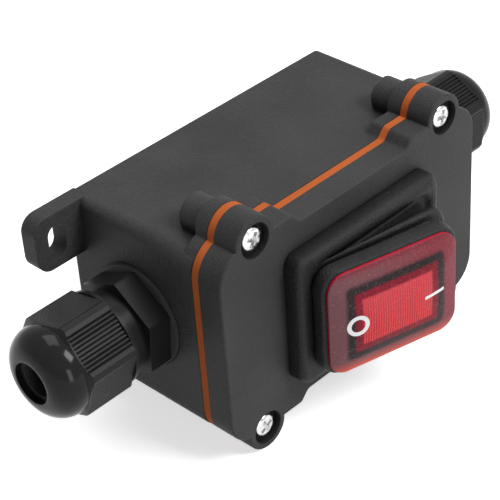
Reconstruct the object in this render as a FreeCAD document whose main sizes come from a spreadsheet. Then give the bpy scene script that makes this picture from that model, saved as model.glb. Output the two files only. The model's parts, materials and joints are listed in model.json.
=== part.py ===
"""Waterproof rocker switch in a screwed box with a cable gland at each end.

Frame: the origin is the middle of the flat back of the box, which lies on the wall. +X runs along the
box to the right cable gland, +Z is up, and -Y points out of the wall to the rocker. Lengths are in
millimetres. A sketch on the XZ plane lies "offset" in front of the back, and pads grow to the front.
"""
import FreeCAD, Part
import math
import os
import re

import Sketcher

doc = FreeCAD.newDocument("waterproof_switch")
sheet = doc.addObject("Spreadsheet::Sheet", "sizes")

SIZES = {
    # box, seal and cover
    "depth": 43.9,              # back of the box to the face of the cover
    "half_width": 38.6,         # at the rim
    "half_height": 21.3,        # at the rim
    "draft_width": 0.5,         # how much narrower each end is at the back
    "draft_height": 0.2,
    "wall": 2.2,
    "cover_depth": 5.9,
    "cover_face": 2.4,
    "seal_thickness": 1.9,
    "rim_depth": 2.8,
    "rim_corner": 7.1,
    "box_corner_front": 3.5,
    "box_corner_back": 1.8,
    "cavity_corner": 3.0,
    "shoulder_rise": 2.2,       # how far the rim's shoulders stand above the box
    "waist_half": 16.0,
    "waist_run": 2.0,
    "waist_fillet": 1.5,
    "edge_round": 0.5,
    # cover screws
    "screw_from_end": 10.1,     # in from the outline of the rim
    "screw_from_edge": 0.2,
    "boss_radius": 5.2,
    "boss_depth": 4.2,          # behind the seal
    "column_radius": 4.0,
    "column_chamfer": 1.1,
    "column_floor": 2.6,        # behind the screw's hole
    "screw_recess_radius": 3.77,
    "screw_recess_depth": 1.9,
    "screw_radius": 1.5,
    "screw_length": 12.5,
    "screw_head_radius": 2.75,
    "screw_head_height": 1.5,
    "screw_tip_space": 0.5,
    # ears
    "ear_length": 12.2,         # beyond the back of the box
    "ear_height": 12.5,
    "ear_thickness": 4.1,
    "ear_corner": 3.5,
    "slot_from_tip": 5.5,
    "slot_from_side": 6.0,
    "slot_radius": 2.2,
    "slot_half_run": 1.65,
    # rocker switch
    "pivot_depth": 0.8,         # behind the face of the cover
    "rest_tilt": 15.0,
    "cutout_half_x": 14.25,
    "cutout_half_z": 11.0,
    "cutout_corner": 1.0,
    "cutout_gap": 0.25,
    "switch_depth": 21.0,
    "switch_floor": 6.0,
    "switch_wall_x": 1.2,
    "switch_wall_z": 1.15,
    "bezel_lip_x": 1.25,        # beyond the cut-out
    "bezel_lip_z": 1.5,
    "bezel_height": 1.6,
    "trunnion_radius": 1.5,
    "cap_lip_x": 4.85,          # beyond the frame's head
    "cap_lip_z": 3.2,
    "cap_corner": 4.2,
    "cap_back": 13.4,           # rocker heights are measured from the pivot
    "cap_rim": 0.7,
    "cap_rise": 2.1,            # of the crown above the rim
    "cap_edge_round": 0.25,
    "head_inset_x": 3.65,       # inside the cut-out
    "head_inset_z": 2.05,
    "head_corner": 0.8,
    "head_top": 13.9,
    "head_bottom": -1.5,
    "head_wall": 0.85,
    "lamp_floor": 4.0,
    "leg_half_x": 3.4,
    "leg_beyond": 3.0,          # past the axis of each plunger
    "leg_bottom": -8.0,
    "insert_inset_x": 2.7,      # inside the frame's head
    "insert_inset_z": 2.65,
    "insert_top": 15.0,
    "insert_plate": 1.4,
    "lamp_radius": 2.0,
    "lamp_length": 10.0,
    "lamp_z": 2.6,
    "resistor_radius": 1.15,
    "resistor_length": 6.5,
    "resistor_z": -3.4,
    "plunger_z": 4.2,
    "plunger_radius": 1.45,
    "plunger_tip": -9.2,
    "plunger_top": -5.0,
    "bore_top": -2.0,
    "spring_wire": 0.22,
    "spring_pitch": 0.9,
    # contacts
    "bridge_tilt": 6.0,
    "bridge_half": 7.0,
    "bridge_width": 3.2,
    "bridge_sheet": 0.6,
    "rivet_height": 0.6,
    "rivet_half": 1.3,
    "terminal_sheet": 0.8,
    "terminal_width": 4.8,
    "terminal_reach": 29.4,     # from the face of the cover
    "terminal_x": 7.4,
    # rubber boot
    "boot_beyond_x": 7.15,      # past the cut-out
    "boot_beyond_z": 4.5,
    "boot_corner": 2.4,
    "boot_side": 4.1,
    "lip_depth": 3.6,           # of the collar that holds the frame's head
    "throat_low_x": 4.0,        # room round the frame's head at the bezel
    "throat_low_z": 2.0,
    "throat_high_x": 2.2,
    "throat_high_z": 1.2,
    # cable glands
    "gland_rise": 1.25,         # axis in front of the middle of the box's depth
    "seat_depth": 0.4,          # flat seat of the washer
    "washer_thickness": 1.2,
    "body_bore": 6.6,
    "entry_wall": 1.5,
    "entry_length": 8.0,
    "hex_wall": 1.2,            # of the flats, outside the thread
    "hex_blunt": 0.13,          # turned off each corner
    "hex_length": 5.4,
    "hex_turn_left": 25.0,      # how far each hexagon is turned on its axis, in degrees
    "hex_turn_right": 0.0,
    "thread_rise": 0.6,
    "thread_length": 11.0,
    "collet_length": 4.6,
    "collet_wall": 1.3,
    "collet_taper": 0.6,
    "collet_slots": 8,
    "collet_slot_width": 0.9,
    "locknut_thickness": 3.0,
    "seal_length": 11.0,
    "seal_taper": 3.0,
    "seal_lip": 0.76,           # hidden behind the edge of the nut's mouth
    "cable_radius": 3.9,
    "nut_gap_left": 3.5,
    "nut_gap_right": 4.6,
    "nut_collar": 0.9,
    "nut_collar_rise": 0.5,
    "nut_side": 1.2,            # wall of the flats, outside the thread
    "nut_blunt": 0.35,
    "nut_grip": 11.9,
    "dome_step": 0.1,
    "dome_length": 6.0,
    "dome_round": 5.4,
    "dome_mouth": 4.64,
    "nut_wall": 1.3,
    "groove_count": 10,
    "groove_pitch": 0.85,
    "groove_coarse": 0.36,      # half the width of the outer grooves
    "groove_fine": 0.24,
    "groove_depth": 0.35,
    "groove_end": 0.5,
    "rib_count": 13,            # fine grooves on the flats between
    "rib_pitch": 0.7,
    "rib_half": 0.2,
    "rib_depth": 0.18,
    "nut_turn_left": -48.0,     # how far each nut is turned on its axis, in degrees
    "nut_turn_right": 30.0,
    # clearances
    "slide_gap": 0.05,
    "part_gap": 0.1,
    "free_gap": 0.3,
}


def fill_sheet():
    """Writes each driving dimension as a plain number with its alias."""
    for row, (alias, size) in enumerate(SIZES.items(), start=1):
        sheet.set("A%d" % row, alias)
        sheet.set("B%d" % row, str(size))
        sheet.setAlias("B%d" % row, alias)
    doc.recompute()


def bind(text):
    """Turns a formula of aliases into one that names the sheet."""
    return re.sub(r"[a-z][a-z_]*", lambda word: "sizes." + word[0] if word[0] in SIZES else word[0], text)


def number(text):
    """The present value of a formula of aliases."""
    found = sheet.evalExpression(bind(text))
    return float(getattr(found, "Value", found))


def drive(thing, prop, text):
    """Binds one property to a formula of aliases."""
    thing.setExpression(prop, bind(text))


def new_body(label):
    body = doc.addObject("PartDesign::Body", label)
    body.Label = label
    body.AllowCompound = True
    return body


def new_sketch(body, name, role="XZ_Plane", offset="0"):
    """A sketch on one of the body's own origin planes, moved along the plane's normal."""
    sketch = body.newObject("Sketcher::SketchObject", name)
    plane = [feature for feature in body.Origin.OriginFeatures if feature.Role == role][0]
    sketch.AttachmentSupport = [(plane, "")]
    sketch.MapMode = "FlatFace"
    drive(sketch, "AttachmentOffset.Base.z", offset)
    return sketch


def hold(sketch, geometry, point, axis, text):
    """Ties one point of a sketch to its distance from the origin along the sketch's x or y."""
    value = number(text)
    kind = "DistanceX" if axis == "x" else "DistanceY"
    if abs(value) < 1e-9:
        line = -2 if axis == "x" else -1
        sketch.addConstraint(Sketcher.Constraint("PointOnObject", geometry, point, line))
        return
    if value > 0:
        rule = Sketcher.Constraint(kind, -1, 1, geometry, point, value)
        formula = text
    else:
        rule = Sketcher.Constraint(kind, geometry, point, -1, 1, -value)
        formula = "-(%s)" % text
    index = sketch.addConstraint(rule)
    drive(sketch, "Constraints[%d]" % index, formula)


def rounded_rectangle(sketch, half_x, half_y, radius):
    """A rectangle about the sketch's origin with four equal round corners."""
    a = number(half_x)
    b = number(half_y)
    r = number(radius)
    corners = [(a - r, -(b - r), 270), (a - r, b - r, 0), (-(a - r), b - r, 90), (-(a - r), -(b - r), 180)]
    ends = []
    for x, y, turn in corners:
        start = math.radians(turn)
        circle = Part.Circle(FreeCAD.Vector(x, y, 0), FreeCAD.Vector(0, 0, 1), r)
        arc = Part.ArcOfCircle(circle, start, start + math.pi / 2)
        ends.append((sketch.addGeometry(arc), arc.StartPoint, arc.EndPoint))
    lines = []
    for index in range(4):
        here = ends[index]
        there = ends[(index + 1) % 4]
        line = sketch.addGeometry(Part.LineSegment(here[2], there[1]))
        lines.append(line)
        sketch.addConstraint(Sketcher.Constraint("Tangent", here[0], 2, line, 1))
        sketch.addConstraint(Sketcher.Constraint("Tangent", line, 2, there[0], 1))
        kind = "Vertical" if index % 2 == 0 else "Horizontal"
        sketch.addConstraint(Sketcher.Constraint(kind, line))
    for arc in ends[1:]:
        sketch.addConstraint(Sketcher.Constraint("Equal", ends[0][0], arc[0]))
    index = sketch.addConstraint(Sketcher.Constraint("Radius", ends[0][0], r))
    drive(sketch, "Constraints[%d]" % index, radius)
    hold(sketch, lines[0], 1, "x", half_x)
    hold(sketch, lines[1], 1, "y", half_y)
    hold(sketch, lines[2], 1, "x", "-(%s)" % half_x)
    hold(sketch, lines[3], 1, "y", "-(%s)" % half_y)


def circle(sketch, x, y, radius):
    """A circle at a place and of a radius given by formulas."""
    r = number(radius)
    centre = FreeCAD.Vector(number(x), number(y), 0)
    index = sketch.addGeometry(Part.Circle(centre, FreeCAD.Vector(0, 0, 1), r))
    rule = sketch.addConstraint(Sketcher.Constraint("Radius", index, r))
    drive(sketch, "Constraints[%d]" % rule, radius)
    hold(sketch, index, 3, "x", x)
    hold(sketch, index, 3, "y", y)


def upright_slot(sketch, x, low, high, radius):
    """A slot with round ends between two centres, one above the other."""
    r = number(radius)
    along = FreeCAD.Vector(r, 0, 0)
    arcs = []
    for level, start in ((high, 0.0), (low, math.pi)):
        centre = FreeCAD.Vector(number(x), number(level), 0)
        round_end = Part.Circle(centre, FreeCAD.Vector(0, 0, 1), r)
        arcs.append(sketch.addGeometry(Part.ArcOfCircle(round_end, start, start + math.pi)))
        hold(sketch, arcs[-1], 3, "x", x)
        hold(sketch, arcs[-1], 3, "y", level)
    top = FreeCAD.Vector(number(x), number(high), 0)
    bottom = FreeCAD.Vector(number(x), number(low), 0)
    left = sketch.addGeometry(Part.LineSegment(top - along, bottom - along))
    right = sketch.addGeometry(Part.LineSegment(bottom + along, top + along))
    for first, second in ((arcs[0], left), (left, arcs[1]), (arcs[1], right), (right, arcs[0])):
        sketch.addConstraint(Sketcher.Constraint("Tangent", first, 2, second, 1))
    index = sketch.addConstraint(Sketcher.Constraint("Radius", arcs[0], r))
    drive(sketch, "Constraints[%d]" % index, radius)


def outline(sketch, points, arcs=None):
    """A closed outline through points given by formulas.

    arcs maps a side's number to the radius of the arc that replaces the straight side. A positive radius
    bulges to the right of the way from its first point to its second, and a minus sign to the left.
    """
    arcs = arcs or {}
    places = [FreeCAD.Vector(number(x), number(y), 0) for x, y in points]
    sides = []
    for index, start in enumerate(places):
        end = places[(index + 1) % len(places)]
        if index not in arcs:
            sides.append((sketch.addGeometry(Part.LineSegment(start, end)), 1, 2))
            continue
        text = arcs[index]
        left = text.startswith("-")
        text = text.lstrip("-")
        r = number(text)
        chord = end - start
        to_left = FreeCAD.Vector(-chord.y, chord.x, 0).normalize()
        sink = math.sqrt(max(r * r - chord.Length ** 2 / 4, 0))
        centre = (start + end) * 0.5 + to_left * (-sink if left else sink)
        first, last = (end, start) if left else (start, end)
        turns = [math.atan2(place.y - centre.y, place.x - centre.x) for place in (first, last)]
        if turns[1] < turns[0]:
            turns[1] += 2 * math.pi
        ring = Part.Circle(centre, FreeCAD.Vector(0, 0, 1), r)
        side = sketch.addGeometry(Part.ArcOfCircle(ring, *turns))
        sides.append((side, 2, 1) if left else (side, 1, 2))
        rule = sketch.addConstraint(Sketcher.Constraint("Radius", side, r))
        drive(sketch, "Constraints[%d]" % rule, text)
    for index, side in enumerate(sides):
        after = sides[(index + 1) % len(sides)]
        sketch.addConstraint(Sketcher.Constraint("Coincident", side[0], side[2], after[0], after[1]))
        hold(sketch, side[0], side[1], "x", points[index][0])
        hold(sketch, side[0], side[1], "y", points[index][1])


def pad(body, name, sketch, length, both_ways=False, back=False):
    feature = body.newObject("PartDesign::Pad", name)
    feature.Profile = sketch
    drive(feature, "Length", length)
    feature.Midplane = both_ways
    feature.Reversed = back
    return feature


def pocket(body, name, sketch, length=None, both_ways=False, front=False):
    """Cuts to the back of the sketch, or to its front."""
    feature = body.newObject("PartDesign::Pocket", name)
    feature.Profile = sketch
    if length is None:
        feature.Type = "ThroughAll"
    else:
        drive(feature, "Length", length)
    feature.Midplane = both_ways
    feature.Reversed = front
    return feature


def revolve(body, name, sketch):
    """Turns a profile about the sketch's horizontal axis."""
    feature = body.newObject("PartDesign::Revolution", name)
    feature.Profile = sketch
    feature.ReferenceAxis = (sketch, ["H_Axis"])
    feature.Angle = 360.0
    return feature


def turned_part(body, name, axis_x, level, points, arcs=None):
    """Turns a profile on the XY plane, at some height, about a line to the front at axis_x."""
    profile = new_sketch(body, name + "_profile", role="XY_Plane", offset=level)
    outline(profile, points, arcs)
    x = number(axis_x)
    ends = [FreeCAD.Vector(x, -2 * number("depth"), 0), FreeCAD.Vector(x, number("depth"), 0)]
    axis = profile.addGeometry(Part.LineSegment(*ends), True)
    profile.addConstraint(Sketcher.Constraint("Vertical", axis))
    hold(profile, axis, 1, "x", axis_x)
    feature = body.newObject("PartDesign::Revolution", name)
    feature.Profile = profile
    feature.ReferenceAxis = (profile, ["Axis0"])
    feature.Angle = 360.0
    return feature


def polar(body, name, features, sketch, axis, count):
    """Repeats features about a sketch's axis."""
    feature = body.newObject("PartDesign::PolarPattern", name)
    feature.Originals = features
    feature.Axis = (sketch, [axis])
    feature.Angle = 360.0
    drive(feature, "Occurrences", count)
    body.Tip = feature
    return feature


def edges_where(feature, test):
    """Names of the edges whose middle point passes a test."""
    doc.recompute()
    names = []
    for index, edge in enumerate(feature.Shape.Edges, start=1):
        middle = edge.valueAt((edge.FirstParameter + edge.LastParameter) / 2)
        if test(middle, edge):
            names.append("Edge%d" % index)
    return names


def fillet(body, name, feature, radius, test):
    """Rounds the edges of a feature that pass a test."""
    names = edges_where(feature, test)
    rounding = body.newObject("PartDesign::Fillet", name)
    rounding.Base = (feature, names)
    drive(rounding, "Radius", radius)
    return rounding


CORNERS = [(1, 1), (-1, 1), (-1, -1), (1, -1)]
BOX_FRONT = "(depth - cover_depth - seal_thickness)"
SEAL_FRONT = "(depth - cover_depth)"
CAVITY_X = "(half_width - wall)"
CAVITY_Z = "(half_height - wall)"
SHOULDER = "(half_height + shoulder_rise)"
SCREW_X = "(half_width - screw_from_end)"
SCREW_Z = "(half_height + shoulder_rise - screw_from_edge)"
COLUMN_BACK = "(depth - screw_recess_depth - screw_length - screw_tip_space - column_floor)"
GLAND_AXIS = "((depth - cover_depth - seal_thickness) / 2 + gland_rise)"
SEAT = "(half_width - seat_depth)"
ENTRY = "(body_bore + entry_wall)"
THREAD = "(body_bore + entry_wall + thread_rise)"
HEX_HALF = "(body_bore + entry_wall + thread_rise + hex_wall)"
HEX_CORNER = "(%s / cos(30) - hex_blunt)" % HEX_HALF
WASHER = "(%s + part_gap)" % HEX_CORNER
NUT_HALF = "(body_bore + entry_wall + thread_rise + part_gap + nut_side)"
NUT_CORNER = "(%s / cos(30) - nut_blunt)" % NUT_HALF
DOME = "(%s - dome_step)" % NUT_HALF
HEX_START = "(%s + washer_thickness)" % SEAT
HEX_END = "(%s + hex_length)" % HEX_START
THREAD_END = "(%s + thread_length)" % HEX_END
BODY_END = "(%s + collet_length)" % THREAD_END
EAR_TIP = "(half_width - draft_width + ear_length)"
EAR_TOP = "(half_height - draft_height)"
EAR_LOW = "(half_height - draft_height - ear_height)"


def signed(sign, alias):
    return alias if sign > 0 else "-" + alias


def corner_circles(sketch, radius):
    """One circle at each cover screw."""
    for side, level in CORNERS:
        circle(sketch, signed(side, SCREW_X), signed(level, SCREW_Z), radius)


def rim(body, offset, length, soft_front=False):
    """The outline that cover, seal and box rim share: shoulders, a waist above and below, screw bosses."""
    plan = new_sketch(body, "rim_plan", offset=offset)
    rounded_rectangle(plan, "half_width", SHOULDER, "rim_corner")
    plate = pad(body, "rim_plate", plan, length)
    waist = new_sketch(body, "waist_plan", offset=offset)
    slope_end = "(waist_half + waist_run)"
    for level in (1, -1):
        low = signed(level, "half_height")
        high = signed(level, "(%s + waist_run)" % SHOULDER)
        mark = signed(level, SHOULDER)
        outline(waist, [("-waist_half", low), ("waist_half", low), (slope_end, mark), (slope_end, high),
                        ("-" + slope_end, high), ("-" + slope_end, mark)])
    cut = pocket(body, "waist_cut", waist, length, front=True)
    inner = number("waist_half")
    outer = number(slope_end)
    height = number("half_height")
    shoulder = number(SHOULDER)

    def on_slope(middle, edge):
        low = abs(abs(middle.x) - inner) < 1e-3 and abs(abs(middle.z) - height) < 1e-3
        high = abs(abs(middle.x) - outer) < 1e-3 and abs(abs(middle.z) - shoulder) < 1e-3
        return low or high

    plate = fillet(body, "waist_curve", cut, "waist_fillet", on_slope)
    if not soft_front:
        bosses = new_sketch(body, "boss_plan", offset=offset)
        corner_circles(bosses, "boss_radius")
        return pad(body, "bosses", bosses, length)
    front = -number(offset + " + " + length)
    plate = fillet(body, "front_edge", plate, "edge_round", lambda middle, edge: abs(middle.y - front) < 1e-3)
    for index, (side, level) in enumerate(CORNERS):
        axis = signed(side, SCREW_X)
        wall = axis + " + boss_radius"
        top = "-(%s + %s)" % (offset, length)
        plate = turned_part(body, "boss%d" % index, axis, signed(level, SCREW_Z), [
            (axis, "-" + offset), (axis, top), (wall + " - edge_round", top), (wall, top + " + edge_round"),
            (wall, "-" + offset)], {2: "edge_round"})
    return plate


def make_base_housing():
    """The box: a drafted tray with the rim, screw columns behind it, and two mounting ears."""
    body = new_body("base_housing")
    back = new_sketch(body, "back_plan")
    rounded_rectangle(back, "(half_width - draft_width)", "(half_height - draft_height)", "box_corner_back")
    front = new_sketch(body, "front_plan", offset=BOX_FRONT)
    rounded_rectangle(front, "half_width", "half_height", "box_corner_front")
    tray = body.newObject("PartDesign::AdditiveLoft", "tray")
    tray.Profile = back
    tray.Sections = [front]
    tray.Ruled = True
    fillet(body, "back_edge", tray, "edge_round * 1.6", lambda middle, edge: abs(middle.y) < 1e-3)
    rim(body, "(%s - rim_depth)" % BOX_FRONT, "rim_depth")
    step = "(boss_radius - column_radius)"
    for index, (side, level) in enumerate(CORNERS):
        axis = signed(side, SCREW_X)
        boss = axis + " + boss_radius"
        wall = axis + " + column_radius"
        boss_back = "-(%s - boss_depth)" % BOX_FRONT
        turned_part(body, "column%d" % index, axis, signed(level, SCREW_Z), [
            (axis, "-" + BOX_FRONT), (boss, "-" + BOX_FRONT), (boss, boss_back + " - " + step),
            (wall, boss_back), (wall, "-" + COLUMN_BACK + " - column_chamfer"),
            (wall + " - column_chamfer", "-" + COLUMN_BACK), (axis, "-" + COLUMN_BACK)])
    ear = new_sketch(body, "ear_plan")
    root_x = "-(half_width - draft_width - wall)"
    round_x = "-(%s - ear_corner)" % EAR_TIP
    outline(ear, [(root_x, EAR_TOP), (round_x, EAR_TOP), ("-" + EAR_TIP, EAR_TOP + " - ear_corner"),
                  ("-" + EAR_TIP, EAR_LOW + " + ear_corner"), (round_x, EAR_LOW), (root_x, EAR_LOW)],
            {1: "ear_corner", 3: "ear_corner"})
    middle = EAR_LOW + " + slot_from_side"
    upright_slot(ear, "-(%s - slot_from_tip)" % EAR_TIP, middle + " - slot_half_run",
                 middle + " + slot_half_run", "slot_radius")
    plate = pad(body, "ear", ear, "ear_thickness")
    polar(body, "ears", [plate], ear, "N_Axis", "2")
    cavity = new_sketch(body, "cavity_plan", offset=BOX_FRONT)
    rounded_rectangle(cavity, CAVITY_X, CAVITY_Z, "cavity_corner")
    pocket(body, "cavity", cavity, "(%s - wall)" % BOX_FRONT)
    pilots = new_sketch(body, "pilot_plan", offset=BOX_FRONT)
    corner_circles(pilots, "screw_radius + slide_gap")
    deep = "screw_length - (cover_depth - screw_recess_depth) - seal_thickness + screw_tip_space"
    pocket(body, "pilot_holes", pilots, deep)
    entry = new_sketch(body, "entry_plan", role="YZ_Plane")
    circle(entry, "-" + GLAND_AXIS, "0", ENTRY + " + 2 * part_gap")
    pocket(body, "cable_entries", entry, both_ways=True)
    for side in (1, -1):
        name = "right" if side > 0 else "left"
        seat = new_sketch(body, name + "_seat_plan", role="YZ_Plane", offset=signed(side, SEAT))
        circle(seat, "-" + GLAND_AXIS, "0", WASHER + " + free_gap")
        pocket(body, name + "_washer_seat", seat, "wall", front=side > 0)
    return body


def make_front_cover():
    """The cover: a shallow tray with the switch cut-out and sunk screw seats."""
    body = new_body("front_cover")
    rim(body, SEAL_FRONT, "cover_depth", soft_front=True)
    cavity = new_sketch(body, "cavity_plan", offset=SEAL_FRONT)
    rounded_rectangle(cavity, CAVITY_X, CAVITY_Z, "cavity_corner")
    pocket(body, "cavity", cavity, "cover_depth - cover_face", front=True)
    cutout = new_sketch(body, "cutout_plan", offset="depth")
    rounded_rectangle(cutout, "cutout_half_x", "cutout_half_z", "cutout_corner")
    pocket(body, "switch_cutout", cutout)
    seats = new_sketch(body, "seat_plan", offset="depth")
    corner_circles(seats, "screw_recess_radius")
    pocket(body, "screw_seats", seats, "screw_recess_depth")
    holes = new_sketch(body, "hole_plan", offset="depth")
    corner_circles(holes, "screw_radius + free_gap")
    pocket(body, "screw_holes", holes)
    return body


def make_cover_gasket():
    """The flat seal between box and cover."""
    body = new_body("cover_gasket")
    rim(body, BOX_FRONT, "seal_thickness")
    cavity = new_sketch(body, "cavity_plan", offset=BOX_FRONT)
    rounded_rectangle(cavity, CAVITY_X, CAVITY_Z, "cavity_corner")
    pocket(body, "opening", cavity, front=True)
    holes = new_sketch(body, "hole_plan", offset=BOX_FRONT)
    corner_circles(holes, "screw_radius + free_gap")
    pocket(body, "screw_holes", holes, front=True)
    return body


def turned(kind, name, **sizes):
    """A cylinder or cone whose axis points to the front."""
    thing = doc.addObject(kind, name)
    thing.Placement = FreeCAD.Placement(FreeCAD.Vector(), FreeCAD.Rotation(FreeCAD.Vector(1, 0, 0), 90))
    for prop, text in sizes.items():
        drive(thing, prop, text)
    return thing


def make_cover_screws():
    """Four pan-head screws: a straight shank, a disc and a sloped crown on top."""
    screws = []
    for index, (side, level) in enumerate(CORNERS):
        floor = "-(depth - screw_recess_depth)"
        crown = "screw_head_height / 2"
        shank = turned("Part::Cylinder", "shank%d" % index, Radius="screw_radius", Height="screw_length")
        drive(shank, "Placement.Base.y", floor + " + screw_length")
        disc = turned("Part::Cylinder", "disc%d" % index, Radius="screw_head_radius", Height=crown)
        drive(disc, "Placement.Base.y", floor)
        top = turned("Part::Cone", "crown%d" % index, Radius1="screw_head_radius",
                     Radius2="screw_head_radius * 0.72", Height=crown)
        drive(top, "Placement.Base.y", floor + " - " + crown)
        for piece in (shank, disc, top):
            drive(piece, "Placement.Base.x", signed(side, SCREW_X))
            drive(piece, "Placement.Base.z", signed(level, SCREW_Z))
        screw = doc.addObject("Part::MultiFuse", "screw%d" % index)
        screw.Shapes = [shank, disc, top]
        screws.append(screw)
    group = doc.addObject("Part::Compound", "cover_screws")
    group.Links = screws
    return group


PIVOT = "(depth - pivot_depth)"
BEZEL_X = "(cutout_half_x + bezel_lip_x)"
BEZEL_Z = "(cutout_half_z + bezel_lip_z)"
SWITCH_X = "(cutout_half_x - cutout_gap)"
SWITCH_Z = "(cutout_half_z - cutout_gap)"
HEAD_X = "(cutout_half_x - head_inset_x)"
HEAD_Z = "(cutout_half_z - head_inset_z)"
CAP_X = "(cutout_half_x - head_inset_x + cap_lip_x)"
CAP_Z = "(cutout_half_z - head_inset_z + cap_lip_z)"
INSERT_X = "(cutout_half_x - head_inset_x - insert_inset_x)"
INSERT_Z = "(cutout_half_z - head_inset_z - insert_inset_z)"
BOOT_X = "(cutout_half_x + boot_beyond_x)"
BOOT_Z = "(cutout_half_z + boot_beyond_z)"
BRIDGE = "(depth - pivot_depth + plunger_tip - free_gap)"
TERMINAL_TIP = "(depth - terminal_reach)"


def on_rocker(thing):
    """Places a piece that is drawn about the pivot with the rocker level, tilted as it rests."""
    thing.Placement = FreeCAD.Placement(FreeCAD.Vector(), FreeCAD.Rotation(FreeCAD.Vector(0, 0, 1), -1))
    drive(thing, "Placement.Base.y", "-" + PIVOT)
    drive(thing, "Placement.Rotation.Angle", "-rest_tilt")
    return thing


def make_switch_body():
    """The switch's frame: a bezel on the cover, a hollow body in the cut-out, slots for the terminals."""
    body = new_body("switch_body")
    bezel = new_sketch(body, "bezel_plan", offset="depth")
    rounded_rectangle(bezel, BEZEL_X, BEZEL_Z, "cutout_corner")
    pad(body, "bezel", bezel, "bezel_height")
    shell = new_sketch(body, "shell_plan", offset="depth")
    rounded_rectangle(shell, SWITCH_X, SWITCH_Z, "cutout_corner * 0.8")
    pad(body, "shell", shell, "switch_depth", back=True)
    room = new_sketch(body, "room_plan", offset="depth + bezel_height")
    rounded_rectangle(room, "(%s - switch_wall_x)" % SWITCH_X, "(%s - switch_wall_z)" % SWITCH_Z,
                      "cutout_corner * 0.5")
    pocket(body, "room", room, "bezel_height + switch_depth - switch_floor")
    pins = new_sketch(body, "pin_plan", role="XY_Plane")
    circle(pins, "0", "-" + PIVOT, "trunnion_radius + slide_gap")
    pocket(body, "pin_holes", pins, "2 * " + SWITCH_Z, both_ways=True)
    slots = new_sketch(body, "slot_plan", offset="depth - switch_depth + switch_floor")
    for place in ("0", "-terminal_x"):
        for level in (1, -1):
            middle = signed(level, "plunger_z")
            half_x = "(terminal_sheet / 2 + slide_gap)"
            half_z = "(terminal_width / 2 + slide_gap)"
            outline(slots, [(place + " - " + half_x, middle + " - " + half_z),
                            (place + " + " + half_x, middle + " - " + half_z),
                            (place + " + " + half_x, middle + " + " + half_z),
                            (place + " - " + half_x, middle + " + " + half_z)])
    pocket(body, "terminal_slots", slots)
    return body


def make_rocker_actuator():
    """The moving frame under the cap: a head with a lamp room, a pin at each side and a leg with two bores."""
    body = new_body("rocker_actuator")
    head = new_sketch(body, "head_plan", offset="head_bottom")
    rounded_rectangle(head, HEAD_X, HEAD_Z, "head_corner")
    pad(body, "head", head, "head_top - head_bottom")
    leg = new_sketch(body, "leg_plan", offset="leg_bottom")
    rounded_rectangle(leg, "leg_half_x", "(plunger_z + leg_beyond)", "head_corner")
    pad(body, "leg", leg, "head_bottom - leg_bottom")
    pins = new_sketch(body, "pin_plan", role="XY_Plane")
    circle(pins, "0", "0", "trunnion_radius")
    pad(body, "pins", pins, "2 * (%s - cutout_gap)" % SWITCH_Z, both_ways=True)
    room = new_sketch(body, "room_plan", offset="head_top")
    rounded_rectangle(room, "(%s - head_wall)" % HEAD_X, "(%s - head_wall)" % HEAD_Z, "head_corner / 2")
    pocket(body, "lamp_room", room, "head_top - lamp_floor")
    bores = new_sketch(body, "bore_plan", offset="leg_bottom")
    for level in (1, -1):
        circle(bores, "0", signed(level, "plunger_z"), "plunger_radius + slide_gap * 2")
    pocket(body, "bores", bores, "bore_top - leg_bottom", front=True)
    return on_rocker(body)


CAP_EDGE = "(cap_back + cap_rim)"
CROWN_STEPS = [
    # how far each level line of the crown lies inside the rim, as a share of the way to the middle, and
    # the corner's share of that line's own half height
    (0.16, 0.42),
    (0.40, 0.62),
    (0.68, 0.86),
    (0.94, 0.90),
]


def make_rocker_cap():
    """The clear cap: a thin straight rim and a pillow-shaped crown, hollow for the frame and the insert."""
    body = new_body("rocker_cap")
    block = new_sketch(body, "cap_plan", offset="cap_back")
    rounded_rectangle(block, CAP_X, CAP_Z, "cap_corner")
    pad(body, "rim", block, "cap_rim")
    edge = new_sketch(body, "edge_plan", offset=CAP_EDGE)
    rounded_rectangle(edge, CAP_X, CAP_Z, "cap_corner")
    lines = []
    for index, (share, corner) in enumerate(CROWN_STEPS):
        level = "(%s + cap_rise * (1 - (1 - %s) ^ 2))" % (CAP_EDGE, share)
        line = new_sketch(body, "crown_line%d" % index, offset=level)
        inset = "%s * %s" % (share, CAP_Z)
        half_z = "(%s - %s)" % (CAP_Z, inset)
        rounded_rectangle(line, "(%s - %s)" % (CAP_X, inset), half_z, "%s * %s" % (half_z, corner))
        lines.append(line)
    crown = body.newObject("PartDesign::AdditiveLoft", "crown")
    crown.Profile = edge
    crown.Sections = lines
    level = -number(CAP_EDGE)
    fillet(body, "cap_round", crown, "cap_edge_round", lambda middle, edge: abs(middle.y - level) < 1e-3)
    frame = new_sketch(body, "frame_plan", offset="cap_back")
    rounded_rectangle(frame, "(%s + part_gap)" % HEAD_X, "(%s + part_gap)" % HEAD_Z, "head_corner")
    pocket(body, "frame_room", frame, "head_top - cap_back + slide_gap", front=True)
    insert = new_sketch(body, "insert_plan", offset="cap_back")
    rounded_rectangle(insert, "(%s + part_gap)" % INSERT_X, "(%s + part_gap)" % INSERT_Z, "head_corner / 2")
    pocket(body, "insert_room", insert, "insert_top - cap_back + slide_gap", front=True)
    return on_rocker(body)


def make_lens_insert():
    """The light diffuser: a plate in the frame's mouth with a raised field."""
    body = new_body("lens_insert")
    plate = new_sketch(body, "plate_plan", offset="head_top - insert_plate")
    gap = "(head_wall + slide_gap)"
    rounded_rectangle(plate, "(%s - %s)" % (HEAD_X, gap), "(%s - %s)" % (HEAD_Z, gap), "head_corner / 2")
    pad(body, "plate", plate, "insert_plate")
    field = new_sketch(body, "field_plan", offset="head_top")
    rounded_rectangle(field, INSERT_X, INSERT_Z, "head_corner / 2")
    pad(body, "field", field, "insert_top - head_top")
    return on_rocker(body)


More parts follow.
